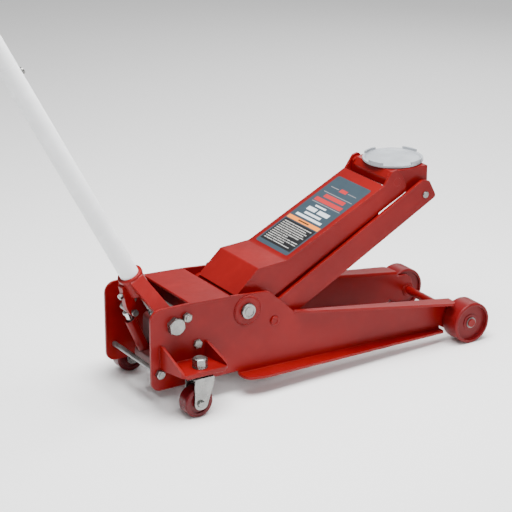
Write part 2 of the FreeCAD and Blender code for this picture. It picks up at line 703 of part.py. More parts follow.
def crank_lugs():
    """The two lugs under the sleeve that the ram pushes."""
    inner = RAM_HEAD_W / 2 + 1
    along = V(CRANK_X - PIVOT_X, 0, CRANK_Z - PIVOT_Z).normalize()
    across = V(-along.z, 0, along.x)
    corners = []
    for x, z, spread in ((PIVOT_X, PIVOT_Z, 1), (CRANK_X, CRANK_Z, 1), (CRANK_X, CRANK_Z, -1), (PIVOT_X, PIVOT_Z, -1)):
        width = 30.0 if x == PIVOT_X else 18.0
        corners.append((x + across.x * width * spread, z + across.z * width * spread))
    lug = prism(corners, "xz", inner, inner + LUG_T)
    lug = lug.fuse(rod(18, inner, inner + LUG_T, "y", CRANK_X, CRANK_Z))
    lug = lug.cut(rod(SLEEVE_D / 2 + FIT, 0, 60, "y", PIVOT_X, PIVOT_Z))
    lug = lug.cut(rod(CRANK_PIN_D / 2 + FIT, 0, 60, "y", CRANK_X, CRANK_Z))
    return both(lug.removeSplitter())


def crank_pin():
    reach = RAM_HEAD_W / 2 + 1 + LUG_T + 3
    return rod(CRANK_PIN_D / 2, -reach, reach, "y", CRANK_X, CRANK_Z)


def head_pin():
    return rod(HEAD_PIN_D / 2, -ARM_HALF, ARM_HALF, "y", HEAD_X, HEAD_Z)


def arm_anchor_bolt():
    """A small bolt through the top of the arm's left side."""
    x, z = along_arm(33, 32)
    head = side_head(13, 7, x, ARM_HALF, z, 1, 0, 10)
    shank = rod(4, ARM_HALF - ARM_T, ARM_HALF + 1, "y", x, z)
    return joined(head, shank)


def lift_arm_drilled():
    x, z = along_arm(33, 32)
    body = lift_arm().cut(rod(4 + FIT, ARM_HALF - ARM_T - 1, ARM_HALF + 1, "y", x, z))
    return body.cut(rod(SLEEVE_D / 2 + FIT, -ARM_HALF - 5, ARM_HALF + 5, "y", PIVOT_X, PIVOT_Z))


def ram_rod():
    """The ram's rod and piston."""
    front = CRANK_X - PISTON_BACK
    body = rod(RAM_D / 2, front - 5, CRANK_X - 27, "x", 0, RAM_Z)
    return joined(body, rod(BORE_R - FIT, front - PISTON_L, front, "x", 0, RAM_Z))


def ram_head():
    """The block on the ram's end, with an upright slot for the crank pin."""
    rear = CRANK_X - 27
    front = CRANK_X + 20
    half = RAM_HEAD_H / 2
    points = [(rear, RAM_Z - half, 4), (rear, RAM_Z + half, 4), (front, RAM_Z + half, 16), (front, RAM_Z - half, 16)]
    body = prism(points, "xz", -RAM_HEAD_W / 2, RAM_HEAD_W / 2)
    wide = CRANK_PIN_D / 2 + SLOT_PLAY
    middle = CRANK_X - SLOT_BACK
    low = CRANK_Z - SLOT_DROP - wide
    high = CRANK_Z + SLOT_RISE + wide
    near = wide - 0.01
    slot = [(middle - wide, low, near), (middle + wide, low, near), (middle + wide, high, near), (middle - wide, high, near)]
    return body.cut(prism(slot, "xz", -50, 50))


# ---------------------------------------------------------------- radius rods and head
def radius_rod():
    """The left radius rod: a flat bar from the side plate's stud to the head's pin."""

    def spot(distance, off):
        x = LINK_X + distance * ARM_COS - off * ARM_SIN
        return (x, LINK_Z + distance * ARM_SIN + off * ARM_COS)

    half = ROD_W / 2
    points = [
        (*spot(-half, -half), half - 2),
        (*spot(-half, half - 2), half - 2),
        spot(ARM_LENGTH + 8, half + 6),
        (*spot(ARM_LENGTH + 24, half - 6), 8),
        (*spot(ARM_LENGTH + 24, 8 - half), 9),
    ]
    body = prism(points, "xz", ROD_IN, ROD_OUT)
    body = body.cut(rod(STUD_D / 2 + FIT, 0, 120, "y", LINK_X, LINK_Z))
    return body.cut(rod(LINK_PIN_D / 2 + FIT, 0, 120, "y", TOP_PIN_X, TOP_PIN_Z))


def link_pin():
    """The long pin that joins both radius rods to the saddle bracket."""
    pin = rod(LINK_PIN_D / 2, -ROD_OUT - 3, ROD_OUT + 3, "y", TOP_PIN_X, TOP_PIN_Z)
    return pin.makeChamfer(1.0, [e for e in pin.Edges if e.BoundBox.YLength < 0.1])


OPEN_PIVOT = 0.6        # extra radius at the open pivot between link pins and saddle bracket


def saddle_bracket():
    """The head of the arm: two cheeks, a top plate and a slanted rear wall."""
    half = CHEEK_OUT
    top = HEAD_TOP_Z
    cheek = [
        (HEAD_X - 21, HEAD_Z - 3, 4),
        (HEAD_X - 21, top - 8, 3),
        (HEAD_X - 12, top),
        (HEAD_FRONT_X, top, 3),
        (HEAD_FRONT_X, TOP_PIN_Z - 8, 12),
        (TOP_PIN_X - 6, TOP_PIN_Z - 16, 12),
        (HEAD_X + 6, HEAD_Z - 17, 10),
        (HEAD_X - 12, HEAD_Z - 17, 8),
    ]
    left = prism(cheek, "xz", CHEEK_IN, half)
    rear = HEAD_X - 12
    plate = [(rear, top), (HEAD_FRONT_X, top, 3), (HEAD_FRONT_X, top - HEAD_TOP_T), (rear - 4, top - HEAD_TOP_T)]
    deck = prism(plate, "xz", -half, half)
    wall = [
        (HEAD_X - 21, HEAD_Z - 13, 3),
        (HEAD_X - 21, HEAD_Z + 8),
        (rear, top, 2),
        (rear + 8, top - 2),
        (HEAD_X - 14.5, HEAD_Z + 8),
        (HEAD_X - 14.5, HEAD_Z - 13, 3),
    ]
    back = prism(wall, "xz", -half, half)
    post = rod(STEM_D / 2 + 6, top - 44, top - 1, "z", SADDLE_X, 0)
    body = joined(left, mirrored(left), deck, back, post)
    body = body.cut(rod(HEAD_PIN_D / 2 + FIT, -100, 100, "y", HEAD_X, HEAD_Z))
    body = body.cut(rod(LINK_PIN_D / 2 + OPEN_PIVOT, -100, 100, "y", TOP_PIN_X, TOP_PIN_Z))
    return body.cut(rod(STEM_D / 2 + FIT, top - 60, top + 10, "z", SADDLE_X, 0))


LUG_RISE = 6.0
LUG_COUNT = 4
LUG_SPAN = 33.0
LUG_START = 1.5


def saddle():
    """The dished saddle: a round cup with four raised lugs on its rim."""
    base = HEAD_TOP_Z + GAP
    rim = SADDLE_R
    profile = [
        V(0, 0, base),
        V(rim - 2, 0, base),
        V(rim, 0, base + 2),
        V(rim, 0, SADDLE_Z),
        V(rim - SADDLE_WALL, 0, SADDLE_Z),
        V(rim - SADDLE_WALL - 4, 0, base + SADDLE_T - 1),
        V(0, 0, base + SADDLE_T - 1),
        V(0, 0, base),
    ]
    cup = Part.Face(Part.makePolygon(profile)).revolve(V(0, 0, 0), V(0, 0, 1), 360)
    body = Part.Shape(cup)
    for i in range(LUG_COUNT):
        ring = Part.makeCylinder(rim, LUG_RISE + 3, V(0, 0, SADDLE_Z - 3), V(0, 0, 1), LUG_SPAN)
        core = Part.makeCylinder(rim - SADDLE_WALL, LUG_RISE + 5, V(0, 0, SADDLE_Z - 4))
        lug = ring.cut(core)
        lug.rotate(V(0, 0, 0), V(0, 0, 1), LUG_START + i * 360 / LUG_COUNT)
        body = body.fuse(lug)
    body = body.removeSplitter()
    body.translate(V(SADDLE_X, 0, 0))
    return body


def saddle_stem():
    """The stem under the saddle, with a groove for its clip."""
    base = HEAD_TOP_Z - 54
    body = rod(STEM_D / 2, base, HEAD_TOP_Z + GAP, "z", SADDLE_X, 0)
    groove = pipe(STEM_D / 2 + 1, STEM_D / 2 - 1.5, base + 4, base + 6, "z", SADDLE_X, 0)
    return body.cut(groove)


def saddle_clip():
    base = HEAD_TOP_Z - 54
    return pipe(STEM_D / 2 + 4, STEM_D / 2 - 1.5 + FIT, base + 4.2, base + 5.8, "z", SADDLE_X, 0)


# ---------------------------------------------------------------- handle
LEG_EYE_OUT = HALF_IN - GAP


def socket_leg():
    """The left leg of the socket: from the tube out to its pivot eye, drawn upright."""
    foot = LEG_EYE_OUT
    points = [
        (foot - LEG_T, -20),
        (foot, -20),
        (foot, 24, 12),
        (SOCKET_D / 2 + 1, SOCKET_TOP - 4, 6),
        (SOCKET_D / 2 - 4, SOCKET_TOP - 4),
        (SOCKET_D / 2 - 4, SOCKET_LOW + 18),
        (foot - LEG_T, 18, 12),
    ]
    leg = prism(points, "yz", -LEG_W / 2, LEG_W / 2)
    eye = [(-LEG_W / 2, 120), (-LEG_W / 2, -17, LEG_W / 2 - 0.5), (LEG_W / 2, -17, LEG_W / 2 - 0.5), (LEG_W / 2, 120)]
    return leg.common(prism(eye, "xz", 0, 120))


def handle_socket():
    """The forked socket: a tube for the handle, two legs and a tongue for the press roller."""
    tube = Part.makeCylinder(SOCKET_D / 2, SOCKET_TOP - SOCKET_LOW, V(0, 0, SOCKET_LOW))
    ring = Part.makeCylinder(SOCKET_D / 2 + 2, 9, V(0, 0, SOCKET_TOP - 9))
    ring = ring.makeFillet(1.5, ring.Edges)
    tongue = [
        (-SOCKET_D / 2 + 6, SOCKET_TOP - 12, 2),
        (-SOCKET_D / 2 - 6, SOCKET_TOP - 12, 5),
        (-ROLLER_BACK - 9, ROLLER_UP + 14, 14),
        (-ROLLER_BACK - 8, ROLLER_UP - 10, 8),
        (-ROLLER_BACK + 11, ROLLER_UP - 10, 8),
        (-SOCKET_D / 2 + 6, SOCKET_LOW + 2, 6),
    ]
    web = prism(tongue, "xz", -9, 9)
    leg = socket_leg()
    body = joined(tube, ring, web, leg, mirrored(leg))
    bore = Part.makeCylinder(HANDLE_D / 2 + FIT, 80, V(0, 0, SOCKET_LOW + 2))
    body = body.cut(bore)
    body = body.cut(Part.makeCylinder(8, 20, V(0, 0, SOCKET_LOW - 8)))
    body = body.cut(rod(PIVOT_BOLT_D / 2 + 2.5, -120, 120, "y", 0, 0))
    body = body.cut(rod(ROLLER_PIN_D / 2 + FIT, -40, 40, "y", -ROLLER_BACK, ROLLER_UP))
    body = body.cut(Part.makeCylinder(4 + FIT, 60, V(-HANDLE_D / 2 + 2, 0, SET_BOLT_UP), V(-1, 0, 0)))
    return leaning(body)


def socket_bushes():
    """Thin bushes in the two pivot eyes."""
    ring = pipe(PIVOT_BOLT_D / 2 + 2.5 - FIT, PIVOT_BOLT_D / 2 + FIT, LEG_EYE_OUT - LEG_T, LEG_EYE_OUT, "y", 0, 0)
    return leaning(both(ring))


def roller_pin():
    """The pin through the tongue, headed at its right end."""
    body = rod(ROLLER_PIN_D / 2, -22, PUMP_Y + 13, "y", -ROLLER_BACK, ROLLER_UP)
    head = rod(ROLLER_PIN_D / 2 + 3, -22, -17, "y", -ROLLER_BACK, ROLLER_UP)
    return leaning(joined(body, head))


def press_roller():
    """The roller on the pin, above the pump plunger."""
    ring = pipe(ROLLER_R, ROLLER_PIN_D / 2 + FIT, 9 + GAP, PUMP_Y + 11, "y", -ROLLER_BACK, ROLLER_UP)
    return leaning(ring)


def set_bolt():
    """The bolt that holds the handle in the socket, with its lock nut."""
    tip = -HANDLE_D / 2 + GROOVE_DEEP - GAP
    body = Part.makeCylinder(4, SET_BOLT_L, V(tip, 0, SET_BOLT_UP), V(-1, 0, 0))
    head = hexagon(13, 7)
    head.rotate(V(0, 0, 0), V(0, 1, 0), -90)
    head.translate(V(tip - SET_BOLT_L + 1, 0, SET_BOLT_UP))
    return leaning(joined(body, head))


def handle_lower_tube():
    """The lower handle tube, standing in the socket, with a groove for the set bolt."""
    base = SOCKET_LOW + 2.5
    body = Part.makeCylinder(HANDLE_D / 2, HANDLE_JOINT - base, V(0, 0, base))
    groove = Part.makeCylinder(HANDLE_D, 10, V(0, 0, SET_BOLT_UP - 5))
    body = body.cut(groove.cut(Part.makeCylinder(HANDLE_D / 2 - GROOVE_DEEP, 10, V(0, 0, SET_BOLT_UP - 5))))
    body = body.cut(Part.makeCylinder(HANDLE_D / 2 - HANDLE_WALL, HANDLE_JOINT, V(0, 0, base - 1)))
    hole = Part.makeCylinder(4 + FIT, 20, V(HANDLE_D / 2 - 15, 0, HANDLE_JOINT - 30), V(1, 0, 0))
    return leaning(body.cut(hole))


def handle_upper_tube():
    """The upper handle tube, with a reduced end that slips into the lower one."""
    outer = HANDLE_D / 2
    low = HANDLE_JOINT
    body = Part.makeCylinder(outer, HANDLE_TOP - 4 - low, V(0, 0, low))
    body = body.cut(Part.makeCylinder(outer - HANDLE_WALL, HANDLE_TOP, V(0, 0, low + 8)))
    body = body.fuse(Part.makeCylinder(outer - HANDLE_WALL - FIT, 62, V(0, 0, low - 60)))
    body = body.cut(Part.makeCylinder(outer - 2 * HANDLE_WALL, 90, V(0, 0, low - 80)))
    hole = Part.makeCylinder(4 + FIT, 20, V(HANDLE_D / 2 - 15, 0, low - 30), V(1, 0, 0))
    return leaning(body.cut(hole))


def handle_grip():
    """The rubber grip on the top of the handle, closed at its end."""
    low = HANDLE_TOP - 140
    body = Part.makeCylinder(HANDLE_D / 2 + 3.5, HANDLE_TOP - low, V(0, 0, low))
    body = body.makeFillet(3, body.Edges)
    return leaning(body.cut(Part.makeCylinder(HANDLE_D / 2 + FIT, HANDLE_TOP - 4 - low, V(0, 0, low))))


def handle_joint_screw():
    """The screw that locks the two handle tubes together."""
    high = HANDLE_JOINT - 30
    body = Part.makeCylinder(4, HANDLE_WALL * 2 + 1, V(HANDLE_D / 2 - 2 * HANDLE_WALL, 0, high), V(1, 0, 0))
    head = Part.makeCylinder(8, 5, V(HANDLE_D / 2, 0, high), V(1, 0, 0))
    return leaning(joined(body, head.makeFillet(1.5, head.Edges)))


# ---------------------------------------------------------------- casters
SHELF_LOW = SHELF_Z - SHELF_T
CROWN_Z = SHELF_LOW - 12.0
CASTER_WHEEL_X = CASTER_X - CASTER_TRAIL
LEG_IN = CASTER_W / 2 + 1.5
LEG_OUT = LEG_IN + FORK_T


def caster_stem():
    """The left caster's stem: a headed bolt that hangs through the shelf."""
    body = rod(CASTER_STEM_D / 2, CROWN_Z - 6, SHELF_Z + 24, "z", CASTER_X, CASTER_Y)
    head = rod(CASTER_STEM_D / 2 + 6, CROWN_Z - 10, CROWN_Z - 4.6, "z", CASTER_X, CASTER_Y)
    return joined(body, head)


def caster_stem_nut():
    nut = hexagon(STEM_NUT_AF, 20, 2.5, CASTER_STEM_D / 2 + FIT)
    nut.rotate(V(0, 0, 0), V(0, 0, 1), 20)
    nut.translate(V(CASTER_X, CASTER_Y, SHELF_Z + 2.5))
    washer = pipe(STEM_NUT_AF / 2 + 2, CASTER_STEM_D / 2 + FIT, SHELF_Z, SHELF_Z + 2.5, "z", CASTER_X, CASTER_Y)
    return joined(nut, washer)


def caster_race():
    """The ball race between the shelf and the fork's crown."""
    low = CROWN_Z + GAP
    ring = pipe(20, CASTER_STEM_D / 2 + FIT, low, SHELF_LOW, "z", CASTER_X, CASTER_Y)
    rims = [e for e in ring.Edges if e.BoundBox.ZMax < low + 0.1 and e.BoundBox.XLength > 38]
    return ring.makeChamfer(4, rims)


def caster_fork():
    """The left caster's fork: a crown and two tapering legs."""
    crown_top = CROWN_Z
    crown_low = CROWN_Z - FORK_T
    front = CASTER_X + 24
    rear = CASTER_X - 25
    legs = []
    points = [
        (rear, crown_top, 3),
        (front, crown_top, 3),
        (front - 2, crown_top - 16, 10),
        (CASTER_WHEEL_X + 15, CASTER_R - 15, 14.5),
        (CASTER_WHEEL_X - 15, CASTER_R - 15, 14.5),
    ]
    for side in (-1, 1):
        low = CASTER_Y + (LEG_IN if side > 0 else -LEG_OUT)
        legs.append(prism(points, "xz", low, low + FORK_T))
    plan = [
        (rear, CASTER_Y - LEG_OUT, 3),
        (rear, CASTER_Y + LEG_OUT, 3),
        (front, CASTER_Y + LEG_OUT, 8),
        (front, CASTER_Y - LEG_OUT, 8),
    ]
    body = joined(prism(plan, "xy", crown_low, crown_top), *legs)
    body = body.cut(rod(CASTER_STEM_D / 2 + FIT, 0, 200, "z", CASTER_X, CASTER_Y))
    return body.cut(rod(CASTER_AXLE_D / 2 + FIT, 0, 300, "y", CASTER_WHEEL_X, CASTER_R))


def caster_axle():
    """The caster's axle bolt with its head and nut."""
    low = CASTER_Y - LEG_OUT
    high = CASTER_Y + LEG_OUT
    body = rod(CASTER_AXLE_D / 2, low - 1, high + 1, "y", CASTER_WHEEL_X, CASTER_R)
    outer = side_head(15, 6, CASTER_WHEEL_X, high + FIT, CASTER_R, 1, 0, 10)
    inner = side_head(15, 5, CASTER_WHEEL_X, low - FIT, CASTER_R, -1, 0, 10)
    return joined(body, outer, inner)


def caster_wheel():
    """The caster's wheel: a rounded tread, a shallow dish and a hub on each side."""
    low = CASTER_Y - CASTER_W / 2
    high = CASTER_Y + CASTER_W / 2
    body = rod(CASTER_R, low, high, "y", CASTER_WHEEL_X, CASTER_R)
    rims = [e for e in body.Edges if e.BoundBox.YLength < 0.1]
    body = body.makeFillet(5, rims)
    for a, b in ((low - 1, low + 3), (high - 3, high + 1)):
        body = body.cut(pipe(CASTER_R - 11, 12, a, b, "y", CASTER_WHEEL_X, CASTER_R))
    hub = rod(9, low - 1.2, high + 1.2, "y", CASTER_WHEEL_X, CASTER_R)
    return joined(body, hub).cut(rod(CASTER_AXLE_D / 2 + FIT, 0, 300, "y", CASTER_WHEEL_X, CASTER_R))


# ---------------------------------------------------------------- assembly
def build():
    """Every node of the jack, by name, set out from the rear tie rod."""
    left_plate = side_plate()
    left_bracket = caster_bracket()
    left_wheel = front_wheel()
    left_rod = radius_rod()
    return {
        "side_plate_left": left_plate,
        "side_plate_right": mirrored(left_plate),
        "deck_cover": deck_cover(),
        "caster_bracket_left": left_bracket,
        "caster_bracket_right": mirrored(left_bracket),
        "rear_tie_rod": through_rod(TIE_X, TIE_Z),
        "cross_rod": through_rod(CROSS_X, CROSS_Z),
        "rod_nuts": rod_nuts(),
        "front_axle": front_axle(),
        "axle_spacers": axle_spacers(),
        "axle_circlips": axle_circlips(),
        "main_pivot_pin": main_pivot_pin(),
        "pivot_boss_rings": pivot_boss_rings(),
        "link_studs": link_studs(),
        "handle_pivot_bolts": handle_pivot_bolts(),
        "unit_bolts": unit_bolts(),
        "pump_block": pump_block(),
        "ram_cylinder": cylinder_tube(),
        "reservoir_tube": reservoir_tube(),
        "gland_nut": gland_nut(),
        "pump_barrel": pump_barrel(),
        "filler_plug": filler_plug(),
        "caster_stems": both(caster_stem()),
        "caster_stem_nuts": both(caster_stem_nut()),
        "caster_races": both(caster_race()),
        "lift_arm": lift_arm_drilled(),
        "arm_pivot_sleeve": arm_pivot_sleeve(),
        "crank_lugs": crank_lugs(),
        "crank_pin": crank_pin(),
        "head_pin": head_pin(),
        "arm_anchor_bolt": arm_anchor_bolt(),
        "ram_rod": ram_rod(),
        "ram_head": ram_head(),
        "radius_rod_left": left_rod,
        "radius_rod_right": mirrored(left_rod),
        "link_pin": link_pin(),
        "saddle_bracket": saddle_bracket(),
        "saddle": saddle(),
        "saddle_stem": saddle_stem(),
        "saddle_clip": saddle_clip(),
        "handle_socket": handle_socket(),
        "socket_bushes": socket_bushes(),
        "roller_pin": roller_pin(),
        "set_bolt": set_bolt(),
        "press_roller": press_roller(),
        "handle_lower_tube": handle_lower_tube(),
        "handle_upper_tube": handle_upper_tube(),
        "handle_grip": handle_grip(),
        "handle_joint_screw": handle_joint_screw(),
        "release_knuckle": release_knuckle(),
        "release_spindle": release_spindle(),
        "pump_plunger": pump_plunger(),
        "front_wheel_left": left_wheel,
        "front_wheel_right": mirrored(left_wheel),
        "caster_fork_left": caster_fork(),
        "caster_fork_right": mirrored(caster_fork()),
        "caster_axle_left": caster_axle(),
        "caster_axle_right": mirrored(caster_axle()),
        "caster_wheel_left": caster_wheel(),
        "caster_wheel_right": mirrored(caster_wheel()),
    }


def origin_shift(nodes):
    """How far the jack moves along X to stand its origin under the middle of its box."""
    low = min(shape.optimalBoundingBox().XMin for shape in nodes.values())
    high = max(shape.optimalBoundingBox().XMax for shape in nodes.values())
    return -(low + high) / 2


def main():
    nodes = build()
    shift = origin_shift(nodes)
    os.makedirs("parts", exist_ok=True)
    for name, shape in nodes.items():
        shape.translate(V(shift, 0, 0))
        shape.exportStep("parts/" + name + ".step")
    print("nodes", len(nodes), "shift", round(shift, 3))
    return shift


SHIFT = main()
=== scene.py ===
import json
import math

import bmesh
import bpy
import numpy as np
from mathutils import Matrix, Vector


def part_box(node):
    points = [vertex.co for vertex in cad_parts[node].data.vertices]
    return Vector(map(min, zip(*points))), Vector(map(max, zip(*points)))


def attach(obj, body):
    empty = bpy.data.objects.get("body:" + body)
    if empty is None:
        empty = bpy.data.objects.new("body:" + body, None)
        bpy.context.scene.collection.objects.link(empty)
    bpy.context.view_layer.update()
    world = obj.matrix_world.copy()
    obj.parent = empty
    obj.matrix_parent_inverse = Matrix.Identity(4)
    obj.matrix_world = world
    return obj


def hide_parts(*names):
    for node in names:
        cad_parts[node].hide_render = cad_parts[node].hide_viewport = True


bl_info = {
    "name": "Trolley Jack Finish",
    "version": (1, 0, 0),
    "blender": (4, 5, 0),
    "location": "3D View > Sidebar > Jack",
    "description": "Paints and details a hydraulic trolley jack and sets up its studio",
    "category": "Object",
}

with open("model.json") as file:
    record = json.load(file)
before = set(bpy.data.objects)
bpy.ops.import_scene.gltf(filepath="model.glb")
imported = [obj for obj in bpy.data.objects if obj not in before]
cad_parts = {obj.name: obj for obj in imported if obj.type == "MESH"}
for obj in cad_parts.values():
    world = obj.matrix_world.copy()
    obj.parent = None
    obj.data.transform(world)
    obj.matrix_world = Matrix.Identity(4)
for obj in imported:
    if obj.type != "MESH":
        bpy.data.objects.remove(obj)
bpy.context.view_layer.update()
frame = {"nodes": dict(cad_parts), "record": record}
JOINTS = {joint["name"]: joint for joint in frame["record"]["behaviour"]["joints"]}
SIDES = (("left", 1), ("right", -1))


def pivot(joint):
    """Where a joint's axis is, in the frame."""
    return Vector(JOINTS[joint]["pos_m"])


# ------------------------------------------------------------------ node helpers
class Signal:
    """One output socket. Arithmetic on it adds Math nodes to the tree that it is in."""

    def __init__(self, web, socket):
        self.web = web
        self.socket = socket

    def _math(self, operation, first, second):
        return self.web.node("ShaderNodeMath", {"operation": operation}, {0: first, 1: second})

    def __add__(self, other):
        return self._math("ADD", self, other)

    def __sub__(self, other):
        return self._math("SUBTRACT", self, other)

    def __rsub__(self, other):
        return self._math("SUBTRACT", other, self)

    def __mul__(self, other):
        return self._math("MULTIPLY", self, other)

    def __truediv__(self, other):
        return self._math("DIVIDE", self, other)

    def wrapped(self, length):
        return self._math("MODULO", self, length)

    def whole(self):
        return self._math("FLOOR", self, 0.0)

    def ramp(self, low, high):
        """0 below low, 1 above high and smooth between."""
        sockets = {"Value": self, "From Min": low, "From Max": high}
        return self.web.node("ShaderNodeMapRange", {"interpolation_type": "SMOOTHSTEP"}, sockets)

    def band(self, low, high, soft=0.004):
        """1 between low and high, with soft edges."""
        return self.ramp(low - soft, low + soft) * (1 - self.ramp(high - soft, high + soft))


class Web:
    """A node tree whose nodes are made from a type, settings and socket values."""

    def __init__(self, tree):
        self.tree = tree

    def node(self, kind, settings=None, sockets=None, out=0):
        made = self.tree.nodes.new(kind)
        for key, value in (settings or {}).items():
            setattr(made, key, value)
        for key, value in (sockets or {}).items():
            if isinstance(value, Signal):
                self.tree.links.new(value.socket, made.inputs[key])
            else:
                made.inputs[key].default_value = value
        return Signal(self, made.outputs[out])


class Finish(Web):
    """A procedural material on Object coordinates."""

    def __init__(self, name):
        self.material = bpy.data.materials.new(name)
        self.material.use_nodes = True
        super().__init__(self.material.node_tree)
        self.tree.nodes.clear()
        self.place = self.node("ShaderNodeTexCoord", out="Object")

    def noise(self, scale, detail=3.0, stretch=(1, 1, 1), out=0):
        """Noise with a number of blobs per metre; stretch makes it finer along an axis."""
        place = self.node("ShaderNodeMapping", {"vector_type": "POINT"}, {"Vector": self.place, "Scale": stretch})
        return self.node("ShaderNodeTexNoise", {}, {"Vector": place, "Scale": scale, "Detail": detail}, out)

    def mix(self, amount, first, second):
        """A colour between two colours."""
        settings = {"data_type": "RGBA", "clamp_factor": True}
        return self.node("ShaderNodeMix", settings, {0: amount, 6: rgba(first), 7: rgba(second)}, 2)

    def soft_normal(self, radius):
        return self.node("ShaderNodeBevel", {"samples": 6}, {"Radius": radius})

    def edge(self, radius):
        """1 along sharp edges, 0 on flats."""
        flat = self.node("ShaderNodeNewGeometry", out="Normal")
        sockets = {0: self.soft_normal(radius), 1: flat}
        same = self.node("ShaderNodeVectorMath", {"operation": "DOT_PRODUCT"}, sockets, "Value")
        return (1 - same).ramp(0.004, 0.10)

    def bump(self, height, distance, normal=None, strength=1.0):
        sockets = {"Height": height, "Distance": distance, "Strength": strength}
        if normal is not None:
            sockets["Normal"] = normal
        return self.node("ShaderNodeBump", {}, sockets)

    def surface(self, **sockets):
        """Ends the material in a Principled shader with these sockets."""
        named = {key.replace("_", " "): value for key, value in sockets.items()}
        named["Base Color"] = rgba(named["Base Color"])
        shader = self.node("ShaderNodeBsdfPrincipled", {}, named)
        end = self.tree.nodes.new("ShaderNodeOutputMaterial")
        self.tree.links.new(shader.socket, end.inputs["Surface"])
        return self.material


def rgba(colour):
    """A colour with its alpha, or a linked colour as it is."""
    return colour if isinstance(colour, Signal) else (*tuple(colour)[:3], 1.0)


# ------------------------------------------------------------------ finishes
PAINT_EDGE = 0.0012     # width of the band beside a corner that gets the painted edge highlight and the worn chips; also the bevel radius of the soft normal
METAL_EDGE = 0.0006
CAST_EDGE = 0.0016


def enamel(name, colour, deep, gloss=0.34, wear=0.35, metal=(0.30, 0.29, 0.28)):
    """Sprayed enamel: slow colour drift, orange peel, a painted highlight along sharp edges and a few worn chips
    there.
    """
    paint = Finish(name)
    drift = paint.noise(5.0, 4.0).ramp(0.30, 0.72)
    body = paint.mix(drift, deep, colour)
    blush = paint.noise(38.0, 4.0).ramp(0.45, 0.80) * 0.22
    body = paint.mix(blush, body, [channel * 1.3 + 0.003 for channel in colour])
    edge = paint.edge(PAINT_EDGE)
    # painted highlight: sharp edges are lightened as if they caught the light
    body = paint.mix(edge * 0.30, body, [channel * 1.8 + 0.012 for channel in colour])
    chips = edge * paint.noise(130.0, 5.0).ramp(0.66, 0.71) * wear
    body = paint.mix(chips, body, metal)
    peel = paint.noise(520.0, 2.0)
    dents = paint.noise(26.0, 3.0)
    normal = paint.bump(dents, 0.0009, paint.soft_normal(PAINT_EDGE), 0.35)
    normal = paint.bump(peel, 0.00012, normal, 0.5)
    rough = paint.noise(60.0, 3.0) * 0.16 + (gloss - 0.08) + chips * 0.3
    sheen = {"Specular_IOR_Level": 0.16, "Coat_Weight": 0.03, "Coat_Roughness": 0.2}
    return paint.surface(Base_Color=body, Roughness=rough, Normal=normal, **sheen)


def plated(name, colour, gloss=0.30, grain=(1, 1, 1)):
    """Zinc plate or bare steel: cloudy colour, fine scratches, slightly dull corners with a painted highlight
    along them.
    """
    metal = Finish(name)
    cloud = metal.noise(48.0, 4.0).ramp(0.30, 0.75)
    dull = [channel * 0.66 for channel in colour]
    warm = (colour[0] * 0.95, colour[1] * 0.89, colour[2] * 0.74)
    body = metal.mix(cloud, dull, colour)
    body = metal.mix(metal.noise(17.0, 2.0).ramp(0.55, 0.80) * 0.45, body, warm)
    scratch = metal.noise(900.0, 2.0, grain)
    edge = metal.edge(METAL_EDGE)
    # painted highlight: corners are lightened as if they caught the light
    body = metal.mix(edge * 0.5, body, [min(1.0, channel * 1.25) for channel in colour])
    normal = metal.bump(scratch, 0.00007, metal.soft_normal(METAL_EDGE), 0.6)
    rough = cloud * 0.14 + metal.noise(240.0, 2.0) * 0.12 + (gloss - 0.08)
    return metal.surface(Base_Color=body, Metallic=0.92, Roughness=rough, Normal=normal)


def cast(name, colour, gloss=0.55, grain=0.00035):
    """A casting under thin paint: coarse sandy skin, darker hollows and a painted highlight along sharp edges."""
    iron = Finish(name)
    sand = iron.noise(300.0, 5.0)
    patch = iron.noise(21.0, 4.0).ramp(0.35, 0.75)
    body = iron.mix(patch, [channel * 0.78 for channel in colour], colour)
    body = iron.mix((1 - sand.ramp(0.30, 0.52)) * 0.30, body, [channel * 0.5 for channel in colour])
    edge = iron.edge(CAST_EDGE)
    # painted highlight: sharp edges are lightened as if they caught the light
    body = iron.mix(edge * 0.35, body, [min(1.0, channel * 1.25 + 0.01) for channel in colour])
    normal = iron.bump(sand, grain, iron.soft_normal(CAST_EDGE), 0.6)
    return iron.surface(Base_Color=body, Roughness=sand * 0.2 + (gloss - 0.1), Normal=normal)


def wheel_plastic(name, colour):
    """Moulded polyurethane: deep glossy colour with fine scuffs where it rolls."""
    tyre = Finish(name)
    scuff = tyre.noise(90.0, 5.0, (1, 4, 1)).ramp(0.56, 0.78)
    body = tyre.mix(tyre.noise(14.0, 2.0), [channel * 0.72 for channel in colour], colour)
    body = tyre.mix(scuff * 0.22, body, [channel * 1.5 + 0.012 for channel in colour])
    normal = tyre.bump(tyre.noise(420.0, 3.0), 0.0001, tyre.soft_normal(0.001), 0.5)
    rough = scuff * 0.25 + 0.20
    sheen = {"Specular_IOR_Level": 0.20, "Coat_Weight": 0.05, "Coat_Roughness": 0.15}
    return tyre.surface(Base_Color=body, Roughness=rough, Normal=normal, **sheen)


def grip_rubber(name, colour):
    rubber = Finish(name)
    dust = rubber.noise(60.0, 5.0).ramp(0.45, 0.85)
    body = rubber.mix(dust * 0.5, colour, [channel * 2.2 + 0.02 for channel in colour])
    normal = rubber.bump(rubber.noise(800.0, 3.0), 0.00025, None, 0.7)
    return rubber.surface(Base_Color=body, Roughness=dust * 0.15 + 0.62, Normal=normal)


